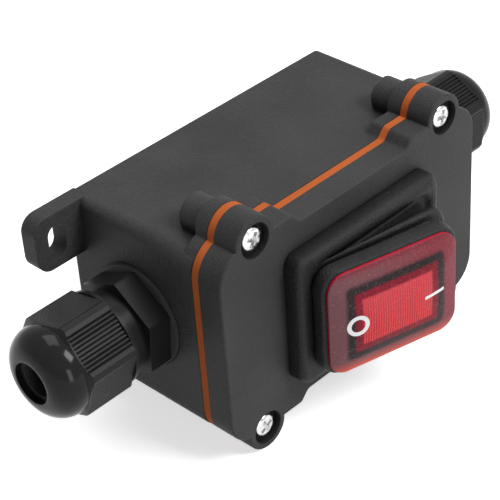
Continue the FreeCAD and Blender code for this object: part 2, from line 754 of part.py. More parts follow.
def make_indicator_lamp():
    """The neon lamp: a glass tube with a domed end, lying on the floor of the lamp room."""
    body = new_body("indicator_lamp")
    profile = new_sketch(body, "glass_profile", offset="lamp_floor + lamp_radius + slide_gap")
    end = "lamp_length / 2"
    outline(profile, [("-" + end, "lamp_z"), ("-" + end, "lamp_z + lamp_radius * 0.8"),
                      ("-" + end + " + lamp_radius * 0.6", "lamp_z + lamp_radius"),
                      (end + " - lamp_radius", "lamp_z + lamp_radius"), (end, "lamp_z")],
            {3: "-lamp_radius"})
    glass = body.newObject("PartDesign::Revolution", "glass")
    glass.Profile = profile
    half = number("lamp_length")
    level = number("lamp_z")
    axis = profile.addGeometry(Part.LineSegment(FreeCAD.Vector(-half, level, 0),
                                                FreeCAD.Vector(half, level, 0)), True)
    profile.addConstraint(Sketcher.Constraint("Horizontal", axis))
    hold(profile, axis, 1, "y", "lamp_z")
    glass.ReferenceAxis = (profile, ["Axis0"])
    glass.Angle = 360.0
    return on_rocker(body)


def rocker_cylinder(label, radius, height, x, z, level, along_x=False):
    """A cylinder drawn about the pivot, along the rocker or pointing to the front, placed as it rests."""
    thing = doc.addObject("Part::Cylinder", label)
    drive(thing, "Radius", radius)
    drive(thing, "Height", height)
    turn = FreeCAD.Rotation(FreeCAD.Vector(0, 0, 1), -number("rest_tilt"))
    lie = FreeCAD.Rotation(FreeCAD.Vector(0, 1, 0), 90) if along_x else FreeCAD.Rotation(FreeCAD.Vector(1, 0, 0), 90)
    thing.Placement = FreeCAD.Placement(FreeCAD.Vector(), turn.multiply(lie))
    drive(thing, "Placement.Base.x", "(%s) * cos(rest_tilt) - (%s) * sin(rest_tilt)" % (x, level))
    drive(thing, "Placement.Base.y", "-%s - (%s) * sin(rest_tilt) - (%s) * cos(rest_tilt)" % (PIVOT, x, level))
    drive(thing, "Placement.Base.z", z)
    return thing


def make_lamp_resistor():
    """The lamp's series resistor beside it."""
    return rocker_cylinder("lamp_resistor", "resistor_radius", "resistor_length", "-resistor_length / 2",
                           "resistor_z", "lamp_floor + resistor_radius + slide_gap", along_x=True)


def make_plunger(name, level):
    """A nylon plunger in the rocker's leg, with a round tip that presses on its bridge."""
    body = new_body("plunger_" + name)
    profile = new_sketch(body, "plunger_profile", role="XY_Plane", offset=signed(level, "plunger_z"))
    outline(profile, [("0", "-plunger_top"), ("plunger_radius", "-plunger_top"),
                      ("plunger_radius", "-plunger_tip - plunger_radius"), ("0", "-plunger_tip")],
            {2: "plunger_radius"})
    pin = body.newObject("PartDesign::Revolution", "pin")
    pin.Profile = profile
    pin.ReferenceAxis = (profile, ["V_Axis"])
    pin.Angle = 360.0
    return on_rocker(body)


def make_plunger_spring(name, level):
    """The coil spring behind a plunger."""
    coil = doc.addObject("Part::Helix", "coil_" + name)
    radius = "(plunger_radius - spring_wire)"
    room = "(bore_top - plunger_top - 2 * spring_wire - 2 * slide_gap)"
    drive(coil, "Pitch", "spring_pitch")
    drive(coil, "Height", room)
    drive(coil, "Radius", radius)
    wire = doc.addObject("Part::RegularPolygon", "wire_" + name)
    wire.Polygon = 4
    drive(wire, "Circumradius", "spring_wire")
    wire.Placement = FreeCAD.Placement(FreeCAD.Vector(), FreeCAD.Rotation(FreeCAD.Vector(1, 0, 0), 90))
    drive(wire, "Placement.Base.x", radius)
    spring = doc.addObject("Part::Sweep", "plunger_spring_" + name)
    spring.Sections = [wire]
    spring.Spine = (coil, ["Edge1"])
    spring.Solid = True
    spring.Frenet = True
    turn = FreeCAD.Rotation(FreeCAD.Vector(0, 0, 1), -number("rest_tilt"))
    lie = FreeCAD.Rotation(FreeCAD.Vector(1, 0, 0), 90)
    start = "plunger_top + spring_wire + slide_gap"
    spring.Placement = FreeCAD.Placement(FreeCAD.Vector(), turn.multiply(lie))
    drive(spring, "Placement.Base.x", "-(%s) * sin(rest_tilt)" % start)
    drive(spring, "Placement.Base.y", "-%s - (%s) * cos(rest_tilt)" % (PIVOT, start))
    drive(spring, "Placement.Base.z", signed(level, "plunger_z"))
    return spring


def make_contact_bridge(name, level):
    """A brass see-saw: a shallow V of sheet with a contact rivet under its left end."""
    body = new_body("contact_bridge_" + name)
    profile = new_sketch(body, "bridge_profile", role="XY_Plane", offset=signed(level, "plunger_z"))
    rise = "-bridge_half * tan(bridge_tilt)"
    rivet_low = "-bridge_half"
    rivet_high = "-(bridge_half - 2 * rivet_half)"
    slope = " * tan(bridge_tilt) + bridge_sheet"
    outline(profile, [("0", "0"), ("-bridge_half", rise),
                      (rivet_low, "-bridge_half" + slope + " + rivet_height"),
                      (rivet_high, "-(bridge_half - 2 * rivet_half)" + slope + " + rivet_height"),
                      (rivet_high, "-(bridge_half - 2 * rivet_half)" + slope),
                      ("0", "bridge_sheet"), ("bridge_half", "-bridge_half" + slope),
                      ("bridge_half", rise)])
    pad(body, "bridge", profile, "bridge_width", both_ways=True)
    body.Placement = FreeCAD.Placement(FreeCAD.Vector(), FreeCAD.Rotation(FreeCAD.Vector(0, 0, 1), 1))
    drive(body, "Placement.Base.y", "-" + BRIDGE)
    drive(body, "Placement.Rotation.Angle", "bridge_tilt")
    return body


def make_terminal(name, level, fixed):
    """A brass blade through the switch's floor: it carries the bridge, or the fixed contact at the left."""
    body = new_body(name)
    profile = new_sketch(body, "blade_profile", role="XY_Plane", offset=signed(level, "plunger_z"))
    half = "terminal_sheet / 2"
    tip = "-" + TERMINAL_TIP
    if fixed:
        place = "-terminal_x"
        reach = "(bridge_half - 2 * rivet_half)"
        top = "-(%s - bridge_sheet - rivet_height - free_gap)" % BRIDGE
        points = [(place + " - " + half, tip), (place + " - " + half, top),
                  ("-" + reach, top), ("-" + reach, top + " + terminal_sheet"),
                  (place + " + " + half, top + " + terminal_sheet"), (place + " + " + half, tip)]
    else:
        top = "-(%s - bridge_sheet - free_gap)" % BRIDGE
        points = [("-" + half, tip), ("-" + half, top), (half, top), (half, tip)]
    outline(profile, points)
    pad(body, "blade", profile, "terminal_width", both_ways=True)
    hole = new_sketch(body, "hole_plan", role="YZ_Plane")
    circle(hole, "-(%s + terminal_width / 2)" % TERMINAL_TIP, signed(level, "plunger_z"), "terminal_sheet")
    pocket(body, "hole", hole, both_ways=True)
    return body


BOOT_FOLDS = [
    # share of the rest tilt, height above the pivot, smaller than the base by this along and up, corner
    (0.0, "pivot_depth", 0.0, 0.0, "boot_corner"),
    (0.0, "pivot_depth + boot_side", -0.2, 0.1, "boot_corner"),
    (0.0, "pivot_depth + boot_side + 0.5", 0.5, 0.8, "boot_corner"),
    (0.13, "pivot_depth + boot_side + 0.2", 3.8, 3.1, "boot_corner"),
    (0.33, "pivot_depth + boot_side + 1.3", 4.8, 3.9, "boot_corner"),
    (0.6, "pivot_depth + boot_side + 3.1", 4.1, 2.5, "boot_corner + 1"),
    (0.87, "pivot_depth + boot_side + 4.0", 5.8, 3.7, "boot_corner + 1"),
    (1.0, "pivot_depth + boot_side + 5.0", 5.1, 2.9, "cap_corner"),
    (1.0, "cap_back - 0.5", 5.2, 2.9, "cap_corner"),
    (1.0, "cap_back - slide_gap", 5.8, 3.4, "cap_corner"),
]


def tilted_section(body, name, share, height, half_x, half_z, corner):
    """A rounded rectangle of the boot, in a plane turned about the pivot by a share of the rest tilt."""
    section = body.newObject("Sketcher::SketchObject", name)
    plane = [feature for feature in body.Origin.OriginFeatures if feature.Role == "XZ_Plane"][0]
    section.AttachmentSupport = [(plane, "")]
    section.MapMode = "FlatFace"
    section.AttachmentOffset = FreeCAD.Placement(FreeCAD.Vector(), FreeCAD.Rotation(FreeCAD.Vector(0, 1, 0), -1))
    turn = "(rest_tilt * %s)" % share
    drive(section, "AttachmentOffset.Rotation.Angle", "-" + turn)
    drive(section, "AttachmentOffset.Base.x", "-(%s) * sin(%s)" % (height, turn))
    drive(section, "AttachmentOffset.Base.z", "%s + (%s) * cos(%s)" % (PIVOT, height, turn))
    rounded_rectangle(section, half_x, half_z, corner)
    return section


def make_rubber_boot():
    """The bellows boot: a block round the bezel, two folds, and a collar under the cap."""
    body = new_body("rubber_boot")
    sections = []
    for index, (share, height, less_x, less_z, corner) in enumerate(BOOT_FOLDS):
        sections.append(tilted_section(body, "fold%d" % index, share, height, "(%s - %s)" % (BOOT_X, less_x),
                                       "(%s - %s)" % (BOOT_Z, less_z), corner))
    skin = body.newObject("PartDesign::AdditiveLoft", "skin")
    skin.Profile = sections[0]
    skin.Sections = sections[1:]
    skin.Ruled = True
    recess = new_sketch(body, "bezel_recess", offset="depth")
    rounded_rectangle(recess, "(%s + part_gap)" % BEZEL_X, "(%s + part_gap)" % BEZEL_Z, "cutout_corner")
    pocket(body, "bezel_room", recess, "bezel_height + part_gap", front=True)
    low = tilted_section(body, "throat_low", 0.0, "pivot_depth + bezel_height", "(%s + throat_low_x)" % HEAD_X,
                         "(%s + throat_low_z)" % HEAD_Z, "boot_corner")
    high = tilted_section(body, "throat_high", 1.0, "cap_back - lip_depth", "(%s + throat_high_x)" % HEAD_X,
                          "(%s + throat_high_z)" % HEAD_Z, "boot_corner")
    throat = body.newObject("PartDesign::SubtractiveLoft", "throat")
    throat.Profile = low
    throat.Sections = [high]
    throat.Ruled = True
    mouth = tilted_section(body, "mouth_low", 1.0, "cap_back - lip_depth - part_gap",
                           "(%s + part_gap)" % HEAD_X, "(%s + part_gap)" % HEAD_Z, "head_corner")
    pocket(body, "mouth", mouth, "lip_depth + 2 * part_gap", front=True)
    return body


def gland_profile(body, name, points, arcs=None):
    """A closed half profile turned about the gland's axis: distance from the middle of the box, radius."""
    profile = new_sketch(body, name + "_profile", offset=GLAND_AXIS)
    outline(profile, points, arcs)
    return revolve(body, name, profile)


def flats(body, name, start, end, half, corner):
    """Cuts six flats along a turned length."""
    plan = new_sketch(body, name + "_plan", role="XZ_Plane", offset=GLAND_AXIS)
    outline(plan, [(start, half), (end, half), (end, corner + " + 1"), (start, corner + " + 1")])
    cut = pocket(body, name, plan, "4 * (%s)" % corner, both_ways=True)
    polar(body, name + "_round", [cut], plan, "H_Axis", "6")
    return plan


def to_side(thing, side):
    """Leaves a piece of a gland at the right, or turns it about the box's middle to the left."""
    if side < 0:
        thing.Placement = FreeCAD.Placement(FreeCAD.Vector(), FreeCAD.Rotation(FreeCAD.Vector(0, 0, 1), 180))
        drive(thing, "Placement.Base.y", "-2 * " + GLAND_AXIS)
    return thing


def make_gland_body(name, side):
    """The gland's body: inner thread, hexagon, outer thread and slit collet on one bore."""
    body = new_body("gland_body_" + name)
    tip = "(%s - entry_length)" % SEAT
    collet = "(body_bore + collet_wall)"
    gland_profile(body, "tube", [
        (tip, "body_bore"), (tip, ENTRY), (HEX_START, ENTRY), (HEX_START, HEX_CORNER), (HEX_END, HEX_CORNER),
        (HEX_END, THREAD), (THREAD_END, THREAD), (THREAD_END, collet), (BODY_END, collet + " - collet_taper"),
        (BODY_END, "body_bore")])
    flats(body, "hexagon", HEX_START, HEX_END, HEX_HALF, HEX_CORNER)
    slit = new_sketch(body, "slit_plan", offset=GLAND_AXIS)
    half = "collet_slot_width / 2"
    outline(slit, [(THREAD_END, "-" + half), (BODY_END + " + 1", "-" + half), (BODY_END + " + 1", half),
                   (THREAD_END, half)])
    cut = pocket(body, "slit", slit, "4 * " + collet, both_ways=True)
    polar(body, "slits", [cut], slit, "H_Axis", "collet_slots / 2")
    return turn_on_axis(to_side(body, side), side, number("hex_turn_" + name))


def make_gland_washer(name, side):
    """The rubber washer between gland and box."""
    body = new_body("gland_washer_" + name)
    end = "(%s - slide_gap)" % HEX_START
    bore = ENTRY + " + part_gap"
    gland_profile(body, "ring", [(SEAT, bore), (SEAT, WASHER), (end, WASHER), (end, bore)])
    return to_side(body, side)


def make_gland_locknut(name, side):
    """The hexagon nut inside the box."""
    body = new_body("gland_locknut_" + name)
    face = "(half_width - wall)"
    start = "(half_width - wall - locknut_thickness)"
    bore = ENTRY + " + slide_gap"
    gland_profile(body, "ring", [(start, bore), (start, HEX_CORNER), (face, HEX_CORNER), (face, bore)])
    flats(body, "hexagon", start, face, HEX_HALF, HEX_CORNER)
    return to_side(body, side)


def make_gland_seal(name, side, gap):
    """The rubber sleeve that grips the cable, tapered to fit under the dome."""
    body = new_body("gland_seal_" + name)
    end = "(%s + %s + nut_collar + nut_grip + dome_length - nut_wall - free_gap)" % (HEX_END, gap)
    start = "(%s - seal_length)" % end
    taper = "(%s - seal_taper)" % end
    outside = "(body_bore - free_gap)"
    gland_profile(body, "sleeve", [
        (start, "cable_radius"), (start, outside), (taper, outside), (end, "dome_mouth + seal_lip"),
        (end, "cable_radius")])
    return to_side(body, side)


def groove_rows(body, name, start, turn, count, pitch, depth, half_width):
    """Rows of V grooves along three flats of a nut; half_width gives each groove's from its number."""
    plan = new_sketch(body, name + "_plan", role="YZ_Plane", offset=start)
    lift = "(%s)" % NUT_HALF
    for index in range(round(number(count))):
        across = "(%s * (%d - (%s - 1) / 2))" % (pitch, index, count)
        corners = []
        for side, level in (("-", " + part_gap"), ("", " - " + depth), ("+", " + part_gap")):
            shift = " %s %s" % (side, half_width(index)) if side else ""
            along = "(%s%s)" % (across, shift)
            up = "(%s%s)" % (lift, level)
            corners.append(("-%s + %s * cos(%d) - %s * sin(%d)" % (GLAND_AXIS, along, turn, up, turn),
                            "%s * sin(%d) + %s * cos(%d)" % (along, turn, up, turn)))
        outline(plan, corners)
    return pocket(body, name, plan, "nut_grip - groove_end", front=True)


def make_gland_nut(name, side, gap):
    """The cap nut: collar, six flats with coarse and fine grip grooves by turns, and a dome with the mouth."""
    body = new_body("gland_nut_" + name)
    rear = "(%s + %s)" % (HEX_END, gap)
    grip = "(%s + nut_collar)" % rear
    shoulder = "(%s + nut_grip)" % grip
    tip = "(%s + dome_length)" % shoulder
    bore = "(%s + part_gap)" % THREAD
    collar = "(%s + nut_collar_rise)" % NUT_HALF
    chamfer = "(%s - %s) * 0.6" % (NUT_CORNER, DOME)
    gland_profile(body, "shell", [
        (rear, bore), (rear, collar), (grip, collar), (grip, NUT_CORNER),
        (shoulder + " - " + chamfer, NUT_CORNER), (shoulder, DOME), (tip, "dome_mouth + 0.5"),
        (tip, "dome_mouth"), (tip + " - nut_wall", "dome_mouth"),
        (shoulder, DOME + " - nut_wall"), (shoulder + " - 1.5", bore)],
        {5: "-dome_round", 8: "(dome_round - nut_wall + 1)"})
    plan = flats(body, "flats", grip, shoulder, NUT_HALF, NUT_CORNER)

    def coarse_between_fine(index):
        return "groove_fine" if 2 < index < number("groove_count") - 3 else "groove_coarse"

    coarse = groove_rows(body, "grooves", grip, 0, "groove_count", "groove_pitch", "groove_depth",
                         coarse_between_fine)
    polar(body, "groove_rows", [coarse], plan, "H_Axis", "3")
    fine = groove_rows(body, "ribs", grip, 60, "rib_count", "rib_pitch", "rib_depth", lambda index: "rib_half")
    polar(body, "rib_rows", [fine], plan, "H_Axis", "3")
    return turn_on_axis(to_side(body, side), side, number("nut_turn_" + name))


def turn_on_axis(piece, side, turn):
    """Turns a piece on the gland's axis to where it was left when it was tightened."""
    spin = FreeCAD.Rotation(FreeCAD.Vector(1, 0, 0), turn)
    piece.Placement = FreeCAD.Placement(piece.Placement.Base, piece.Placement.Rotation.multiply(spin))
    drive(piece, "Placement.Base.y", "-%s + %s * %d * cos(%s)" % (GLAND_AXIS, GLAND_AXIS, side, turn))
    drive(piece, "Placement.Base.z", "%s * sin(%s)" % (GLAND_AXIS, turn))
    return piece


def check(parts):
    """Stops if any object failed or any part has no sound solid."""
    for thing in doc.Objects:
        bad = [word for word in thing.State if word in ("Invalid", "Error")]
        if bad:
            raise RuntimeError("%s is %s: %s" % (thing.Label, bad, thing.getStatusString()))
    for part in parts:
        shape = part.Shape
        if shape.isNull() or not shape.isValid() or not shape.Solids:
            raise RuntimeError("%s has no valid solid" % part.Label)
        print("%-24s solids %d volume %9.1f" % (part.Label, len(shape.Solids), shape.Volume))


def main():
    fill_sheet()
    parts = [make_base_housing(), make_front_cover(), make_cover_gasket(), make_cover_screws(),
             make_switch_body(), make_rubber_boot(), make_rocker_cap(), make_rocker_actuator(),
             make_lens_insert(), make_indicator_lamp(), make_lamp_resistor()]
    for name, level in (("upper", 1), ("lower", -1)):
        parts += [make_plunger(name, level), make_plunger_spring(name, level),
                  make_contact_bridge(name, level), make_terminal("terminal_common_" + name, level, False),
                  make_terminal("terminal_line_" + name, level, True)]
    for name, side in (("left", -1), ("right", 1)):
        gap = "nut_gap_" + name
        parts += [make_gland_body(name, side), make_gland_washer(name, side), make_gland_locknut(name, side),
                  make_gland_seal(name, side, gap), make_gland_nut(name, side, gap)]
    doc.recompute()
    check(parts)
    os.makedirs("parts", exist_ok=True)
    for part in parts:
        part.Shape.exportStep("parts/%s.step" % part.Label)


main()
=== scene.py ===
"""Looks of the waterproof switch box.

The frame is the part's own: metres, +X along the box, +Z up, -Y out of the wall to the rocker. Pieces of the
rocker are drawn level about its pivot as (along, height, up) and then tilted to where the rocker rests.
"""
import json
import math

import bmesh
import bpy
from mathutils import Matrix, Vector
from mathutils.bvhtree import BVHTree
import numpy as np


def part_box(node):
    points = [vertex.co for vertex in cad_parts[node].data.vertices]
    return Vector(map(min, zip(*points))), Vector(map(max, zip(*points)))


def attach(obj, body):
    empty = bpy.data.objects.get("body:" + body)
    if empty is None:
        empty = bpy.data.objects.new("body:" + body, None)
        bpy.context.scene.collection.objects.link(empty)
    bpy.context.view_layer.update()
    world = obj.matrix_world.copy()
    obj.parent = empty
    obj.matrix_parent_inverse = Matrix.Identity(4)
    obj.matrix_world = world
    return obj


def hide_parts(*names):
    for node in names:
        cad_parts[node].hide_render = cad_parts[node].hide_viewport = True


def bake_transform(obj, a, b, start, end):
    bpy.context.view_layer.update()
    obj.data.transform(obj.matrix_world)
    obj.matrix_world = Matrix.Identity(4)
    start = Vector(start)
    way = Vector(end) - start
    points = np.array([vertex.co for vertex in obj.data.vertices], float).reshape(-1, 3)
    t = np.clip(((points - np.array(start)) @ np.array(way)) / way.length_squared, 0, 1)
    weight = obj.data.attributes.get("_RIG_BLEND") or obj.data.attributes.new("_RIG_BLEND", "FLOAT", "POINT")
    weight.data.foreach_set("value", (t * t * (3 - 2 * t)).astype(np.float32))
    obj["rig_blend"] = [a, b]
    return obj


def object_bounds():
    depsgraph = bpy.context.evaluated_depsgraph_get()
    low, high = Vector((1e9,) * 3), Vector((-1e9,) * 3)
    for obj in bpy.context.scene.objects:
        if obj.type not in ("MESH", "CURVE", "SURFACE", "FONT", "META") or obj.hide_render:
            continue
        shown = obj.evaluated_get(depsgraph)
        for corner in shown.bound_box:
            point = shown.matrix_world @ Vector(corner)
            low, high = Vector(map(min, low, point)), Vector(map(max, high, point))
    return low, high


MM = 0.001
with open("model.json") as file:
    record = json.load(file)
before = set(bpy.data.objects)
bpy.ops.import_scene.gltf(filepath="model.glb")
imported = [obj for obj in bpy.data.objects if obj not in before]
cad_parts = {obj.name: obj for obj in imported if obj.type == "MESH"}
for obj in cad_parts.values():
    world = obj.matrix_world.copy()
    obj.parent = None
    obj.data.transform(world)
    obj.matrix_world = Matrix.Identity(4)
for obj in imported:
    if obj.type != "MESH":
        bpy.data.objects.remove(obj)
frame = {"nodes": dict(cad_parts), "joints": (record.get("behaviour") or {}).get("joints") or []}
cad_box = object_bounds()
JOINTS = {joint["name"]: joint for joint in frame["joints"]}
PIVOT = Vector(JOINTS["rocker_turn"]["pos_m"])
# the rocker rests at one end of its travel, half of it away from level
TILT = math.radians(JOINTS["rocker_turn"]["range_deg"][1] / 2)
CORNER_STEPS = 10


# Meshes

def new_object(name, data):
    thing = bpy.data.objects.new(name, data)
    bpy.context.scene.collection.objects.link(thing)
    return thing


def mesh_piece(name, points, faces, smooth=True):
    """A piece from points and faces that name them."""
    mesh = bpy.data.meshes.new(name)
    mesh.from_pydata([tuple(point) for point in points], [], faces)
    mesh.validate()
    work = bmesh.new()
    work.from_mesh(mesh)
    bmesh.ops.recalc_face_normals(work, faces=work.faces)
    work.to_mesh(mesh)
    work.free()
    for face in mesh.polygons:
        face.use_smooth = smooth
    return new_object(name, mesh)


def on_rocker(along, height, up, share=1.0):
    """A point given in millimetres about the pivot, tilted by a share of the rocker's rest tilt."""
    turn = TILT * share
    x = along * math.cos(turn) - height * math.sin(turn)
    y = -along * math.sin(turn) - height * math.cos(turn)
    return PIVOT + Vector((x, y, up)) * MM


def rounded_ring(half_x, half_z, corner):
    """Points of a rounded rectangle in millimetres, counter-clockwise seen from the front."""
    ring = []
    for quarter, (side, level) in enumerate(((1, 1), (-1, 1), (-1, -1), (1, -1))):
        for step in range(CORNER_STEPS + 1):
            turn = math.radians(90 * quarter + 90 * step / CORNER_STEPS)
            ring.append((side * (half_x - corner) + corner * math.cos(turn),
                         level * (half_z - corner) + corner * math.sin(turn)))
    return ring


def skin(rings, closed=True):
    """Points and faces of a skin over rings of equal length; if closed, the last one joins the first."""
    count = len(rings[0])
    bands = len(rings) if closed else len(rings) - 1
    faces = []
    for low in range(bands):
        high = (low + 1) % len(rings)
        for index in range(count):
            after = (index + 1) % count
            near = (low * count + index, low * count + after)
            faces.append((*near, high * count + after, high * count + index))
    return [point for ring in rings for point in ring], faces


def spline(points, steps):
    """A smooth line through the points, tuples of equal length."""
    made = []
    for index in range(len(points) - 1):
        before = points[max(index - 1, 0)]
        start = points[index]
        end = points[index + 1]
        after = points[min(index + 2, len(points) - 1)]
        for step in range(steps):
            t = step / steps
            made.append(tuple(
                0.5 * (2 * b + (c - a) * t + (2 * a - 5 * b + 4 * c - d) * t * t
                       + (3 * b - a - 3 * c + d) * t ** 3)
                for a, b, c, d in zip(before, start, end, after)))
    return made + [points[-1]]


# Materials: widths and places are in millimetres; the heights of bumps, edges and creases in metres

# the sockets of a mix node that count when it mixes colours
MIX_SHARE = 0
MIX_FIRST = 6
MIX_SECOND = 7
MIX_RESULT = 2
BLACK = (0.0, 0.0, 0.0)
WHITE = (1.0, 1.0, 1.0)
# the stretch that most values of a noise lie in
NOISE_LOW = 0.3
NOISE_HIGH = 0.7


class Nodes:
    """A new material's node tree, with short ways to add and join nodes."""

    def __init__(self, name):
        self.material = bpy.data.materials.new(name)
        self.material.use_nodes = True
        self.tree = self.material.node_tree
        self.shader = self.tree.nodes["Principled BSDF"]
        self.place = self.add("ShaderNodeTexCoord").outputs["Object"]

    def add(self, kind, **settings):
        node = self.tree.nodes.new(kind)
        for key, value in settings.items():
            setattr(node, key, value)
        return node

    def join(self, start, end):
        self.tree.links.new(start, end)

    def feed(self, socket, value):
        """Gives a socket what another socket holds, or a plain colour or number."""
        if isinstance(value, bpy.types.NodeSocket):
            self.join(value, socket)
        elif isinstance(value, tuple):
            socket.default_value = (*value, 1)
        else:
            socket.default_value = value

    def set(self, **values):
        """Feeds the shader's sockets by name."""
        for key, value in values.items():
            self.feed(self.shader.inputs[key.replace("_", " ")], value)

    def noise(self, scale, detail):
        node = self.add("ShaderNodeTexNoise")
        node.inputs["Scale"].default_value = scale
        node.inputs["Detail"].default_value = detail
        self.join(self.place, node.inputs["Vector"])
        return node.outputs["Fac"]

    def span(self, value, low, high, out_low=0.0, out_high=1.0, soft=False):
        """Maps a value from one range to another."""
        node = self.add("ShaderNodeMapRange", interpolation_type="SMOOTHSTEP" if soft else "LINEAR")
        sockets = ("From Min", "From Max", "To Min", "To Max")
        for socket, number in zip(sockets, (low, high, out_low, out_high)):
            node.inputs[socket].default_value = number
        self.join(value, node.inputs["Value"])
        return node.outputs["Result"]

    def rise(self, value, low, high):
        """Goes softly from 0 to 1 as a value goes from low to high."""
        return self.span(value, low, high, soft=True)

    def colours(self, value, first, second, low=0.35, high=0.65):
        """Goes from the first colour to the second as a value rises."""
        ramp = self.add("ShaderNodeValToRGB")
        ramp.color_ramp.elements[0].position = low
        ramp.color_ramp.elements[0].color = (*first, 1)
        ramp.color_ramp.elements[1].position = high
        ramp.color_ramp.elements[1].color = (*second, 1)
        self.join(value, ramp.inputs["Fac"])
        return ramp.outputs["Color"]

    def math(self, operation, first, second=None):
        """One step of arithmetic on sockets or plain numbers."""
        node = self.add("ShaderNodeMath", operation=operation)
        for socket, value in zip(node.inputs, (first, second)):
            if value is not None:
                self.feed(socket, value)
        return node.outputs[0]

    def mix(self, share, first, second, blend="MIX"):
        """Goes from the first colour to the second, or blends it in; each is a socket or a plain colour."""
        node = self.add("ShaderNodeMix", data_type="RGBA", blend_type=blend)
        self.feed(node.inputs[MIX_SHARE], share)
        self.feed(node.inputs[MIX_FIRST], first)
        self.feed(node.inputs[MIX_SECOND], second)
        return node.outputs[MIX_RESULT]

    def paint(self, share, colour):
        """Lays a colour over the base colour by a share."""
        base = self.shader.inputs["Base Color"]
        self.join(self.mix(share, base.links[0].from_socket, colour), base)

    def parts(self, vector):
        """A vector's x, y and z."""
        split = self.add("ShaderNodeSeparateXYZ")
        self.join(vector, split.inputs["Vector"])
        return split.outputs

    def magnitude(self, number):
        """A number without its sign."""
        return self.math("ABSOLUTE", number)

    def soft_edges(self, radius):
        """Normals that turn round sharp edges over a radius in metres."""
        node = self.add("ShaderNodeBevel", samples=4)
        node.inputs["Radius"].default_value = radius
        return node.outputs["Normal"]

    def hollows(self, reach):
        """Goes from 1 in the open towards 0 where surfaces stand closer than a reach in metres."""
        node = self.add("ShaderNodeAmbientOcclusion", samples=6)
        node.inputs["Distance"].default_value = reach
        return node.outputs["AO"]

    def bump(self, value, height, before=None):
        """Raises the surface by a value times a height in metres."""
        node = self.add("ShaderNodeBump")
        node.inputs["Distance"].default_value = height
        self.join(value, node.inputs["Height"])
        if before:
            self.join(before, node.inputs["Normal"])
        return node.outputs["Normal"]


def tinted(colour, factor):
    return tuple(min(channel * factor, 1.0) for channel in colour)


# how much of the tone comes from clouds and from specks, and how the painted shade darkens creases
CLOUD_SCALE = 60.0
CLOUD_SHARE = 0.45
SPECK_SHARE = 0.55
TONE_LOW = 0.38
TONE_HIGH = 0.62
ROUGH_SPREAD = 0.05
CREASE_SHADE_LOW = 0.25
CREASE_SHADE_HIGH = 0.85
CREASE_SHADE_TONE = 0.22


def moulded(name, colour, rough, grain, depth, specular, spread=0.15, edge=0.0, crease_shade=0.0):
    """Moulded plastic or rubber: clouds and fine specks in the colour, grain in the surface, painted shade in
    creases.

    Grain is how fine the specks are, depth how far they stand out, spread how far the colour strays, edge the
    radius that sharp edges seem to have, and crease_shade how far the painted shade in a hollow reaches.
    """
    nodes = Nodes(name)
    clouds = nodes.math("MULTIPLY", nodes.noise(CLOUD_SCALE, detail=4.0), CLOUD_SHARE)
    fine = nodes.noise(grain, detail=2.0)
    both = nodes.math("ADD", clouds, nodes.math("MULTIPLY", fine, SPECK_SHARE))
    tone = nodes.colours(both, tinted(colour, 1 - spread), tinted(colour, 1 + spread), TONE_LOW, TONE_HIGH)
    # painted shade: the colour darkens towards a dark tone in creases and hollows, by ambient occlusion
    if crease_shade:
        unshaded_share = nodes.span(nodes.hollows(crease_shade), CREASE_SHADE_LOW, CREASE_SHADE_HIGH)
        tone = nodes.mix(unshaded_share, tinted(colour, CREASE_SHADE_TONE), tone)
    rounded = nodes.soft_edges(edge) if edge else None
    nodes.set(
        Base_Color=tone,
        Roughness=nodes.span(fine, NOISE_LOW, NOISE_HIGH, rough - ROUGH_SPREAD, rough + ROUGH_SPREAD),
        Normal=nodes.bump(fine, depth, rounded),
        Specular_IOR_Level=specular)
    return nodes


GASKET_ORANGE = (0.50, 0.120, 0.032)
GASKET_SHADOW = (0.012, 0.010, 0.010)
SHADOW_WIDTH = 0.26


def gasket_rubber():
    """The seal's orange rubber, with a painted shadow where its back edge meets the box."""
    nodes = moulded("gasket_rubber", GASKET_ORANGE, rough=0.7, grain=1800.0, depth=0.00002, specular=0.1,
                    spread=0.08, edge=0.00015)
    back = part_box("cover_gasket")[1].y
    depth = nodes.parts(nodes.place)[1]
    # painted shadow along the back edge, where the gasket meets the box
    nodes.paint(nodes.span(depth, back - SHADOW_WIDTH * MM, back - SHADOW_WIDTH / 2 * MM), GASKET_SHADOW)
    return nodes


BOOT_BLACK = (0.017, 0.017, 0.018)
SPECK_GREY = (0.07, 0.07, 0.07)
SPECK_SCALE = 1300.0
SPECK_LOW = 0.69
SPECK_HIGH = 0.75
SEAM_BLACK = (0.004, 0.004, 0.004)
SEAM_HALF_WIDTH = 0.104
# how far from the boot's middle the parting line starts
SEAM_START = 13.5


def boot_rubber():
    """Grained black rubber with a few pale specks and the mould's parting line on both sides."""
    nodes = moulded("boot_rubber", BOOT_BLACK, rough=0.5, grain=2300.0, depth=0.00022, specular=0.16,
                    spread=0.32, crease_shade=0.006)
    specks = nodes.noise(SPECK_SCALE, detail=4.0)
    nodes.paint(nodes.span(specks, SPECK_LOW, SPECK_HIGH), SPECK_GREY)
    along, _, up = nodes.parts(nodes.place)
    near = nodes.math("LESS_THAN", nodes.magnitude(up), SEAM_HALF_WIDTH * MM)
    side = nodes.math("GREATER_THAN", nodes.magnitude(along), SEAM_START * MM)
    nodes.paint(nodes.math("MULTIPLY", near, side), SEAM_BLACK)
    return nodes


GLAND_BLACK = (0.010, 0.010, 0.0104)
# how far from the box's middle the left dome starts, 1 mm before the right one, and over what length
# the shine begins
DOME_START = 61.2
SHINE_LENGTH = 0.4
FLAT_ROUGH = 0.36
DOME_ROUGH = 0.13


def gland_nylon():
    """Black nylon, glossy on the domes and duller on the flats."""
    nodes = moulded("gland_nylon", GLAND_BLACK, rough=0.15, grain=900.0, depth=0.000002, specular=0.15,
                    spread=0.08, edge=0.00012)
    reach = nodes.magnitude(nodes.parts(nodes.place)[0])
    nodes.set(Roughness=nodes.span(reach, (DOME_START - SHINE_LENGTH) * MM, DOME_START * MM,
                                   FLAT_ROUGH, DOME_ROUGH))
    return nodes


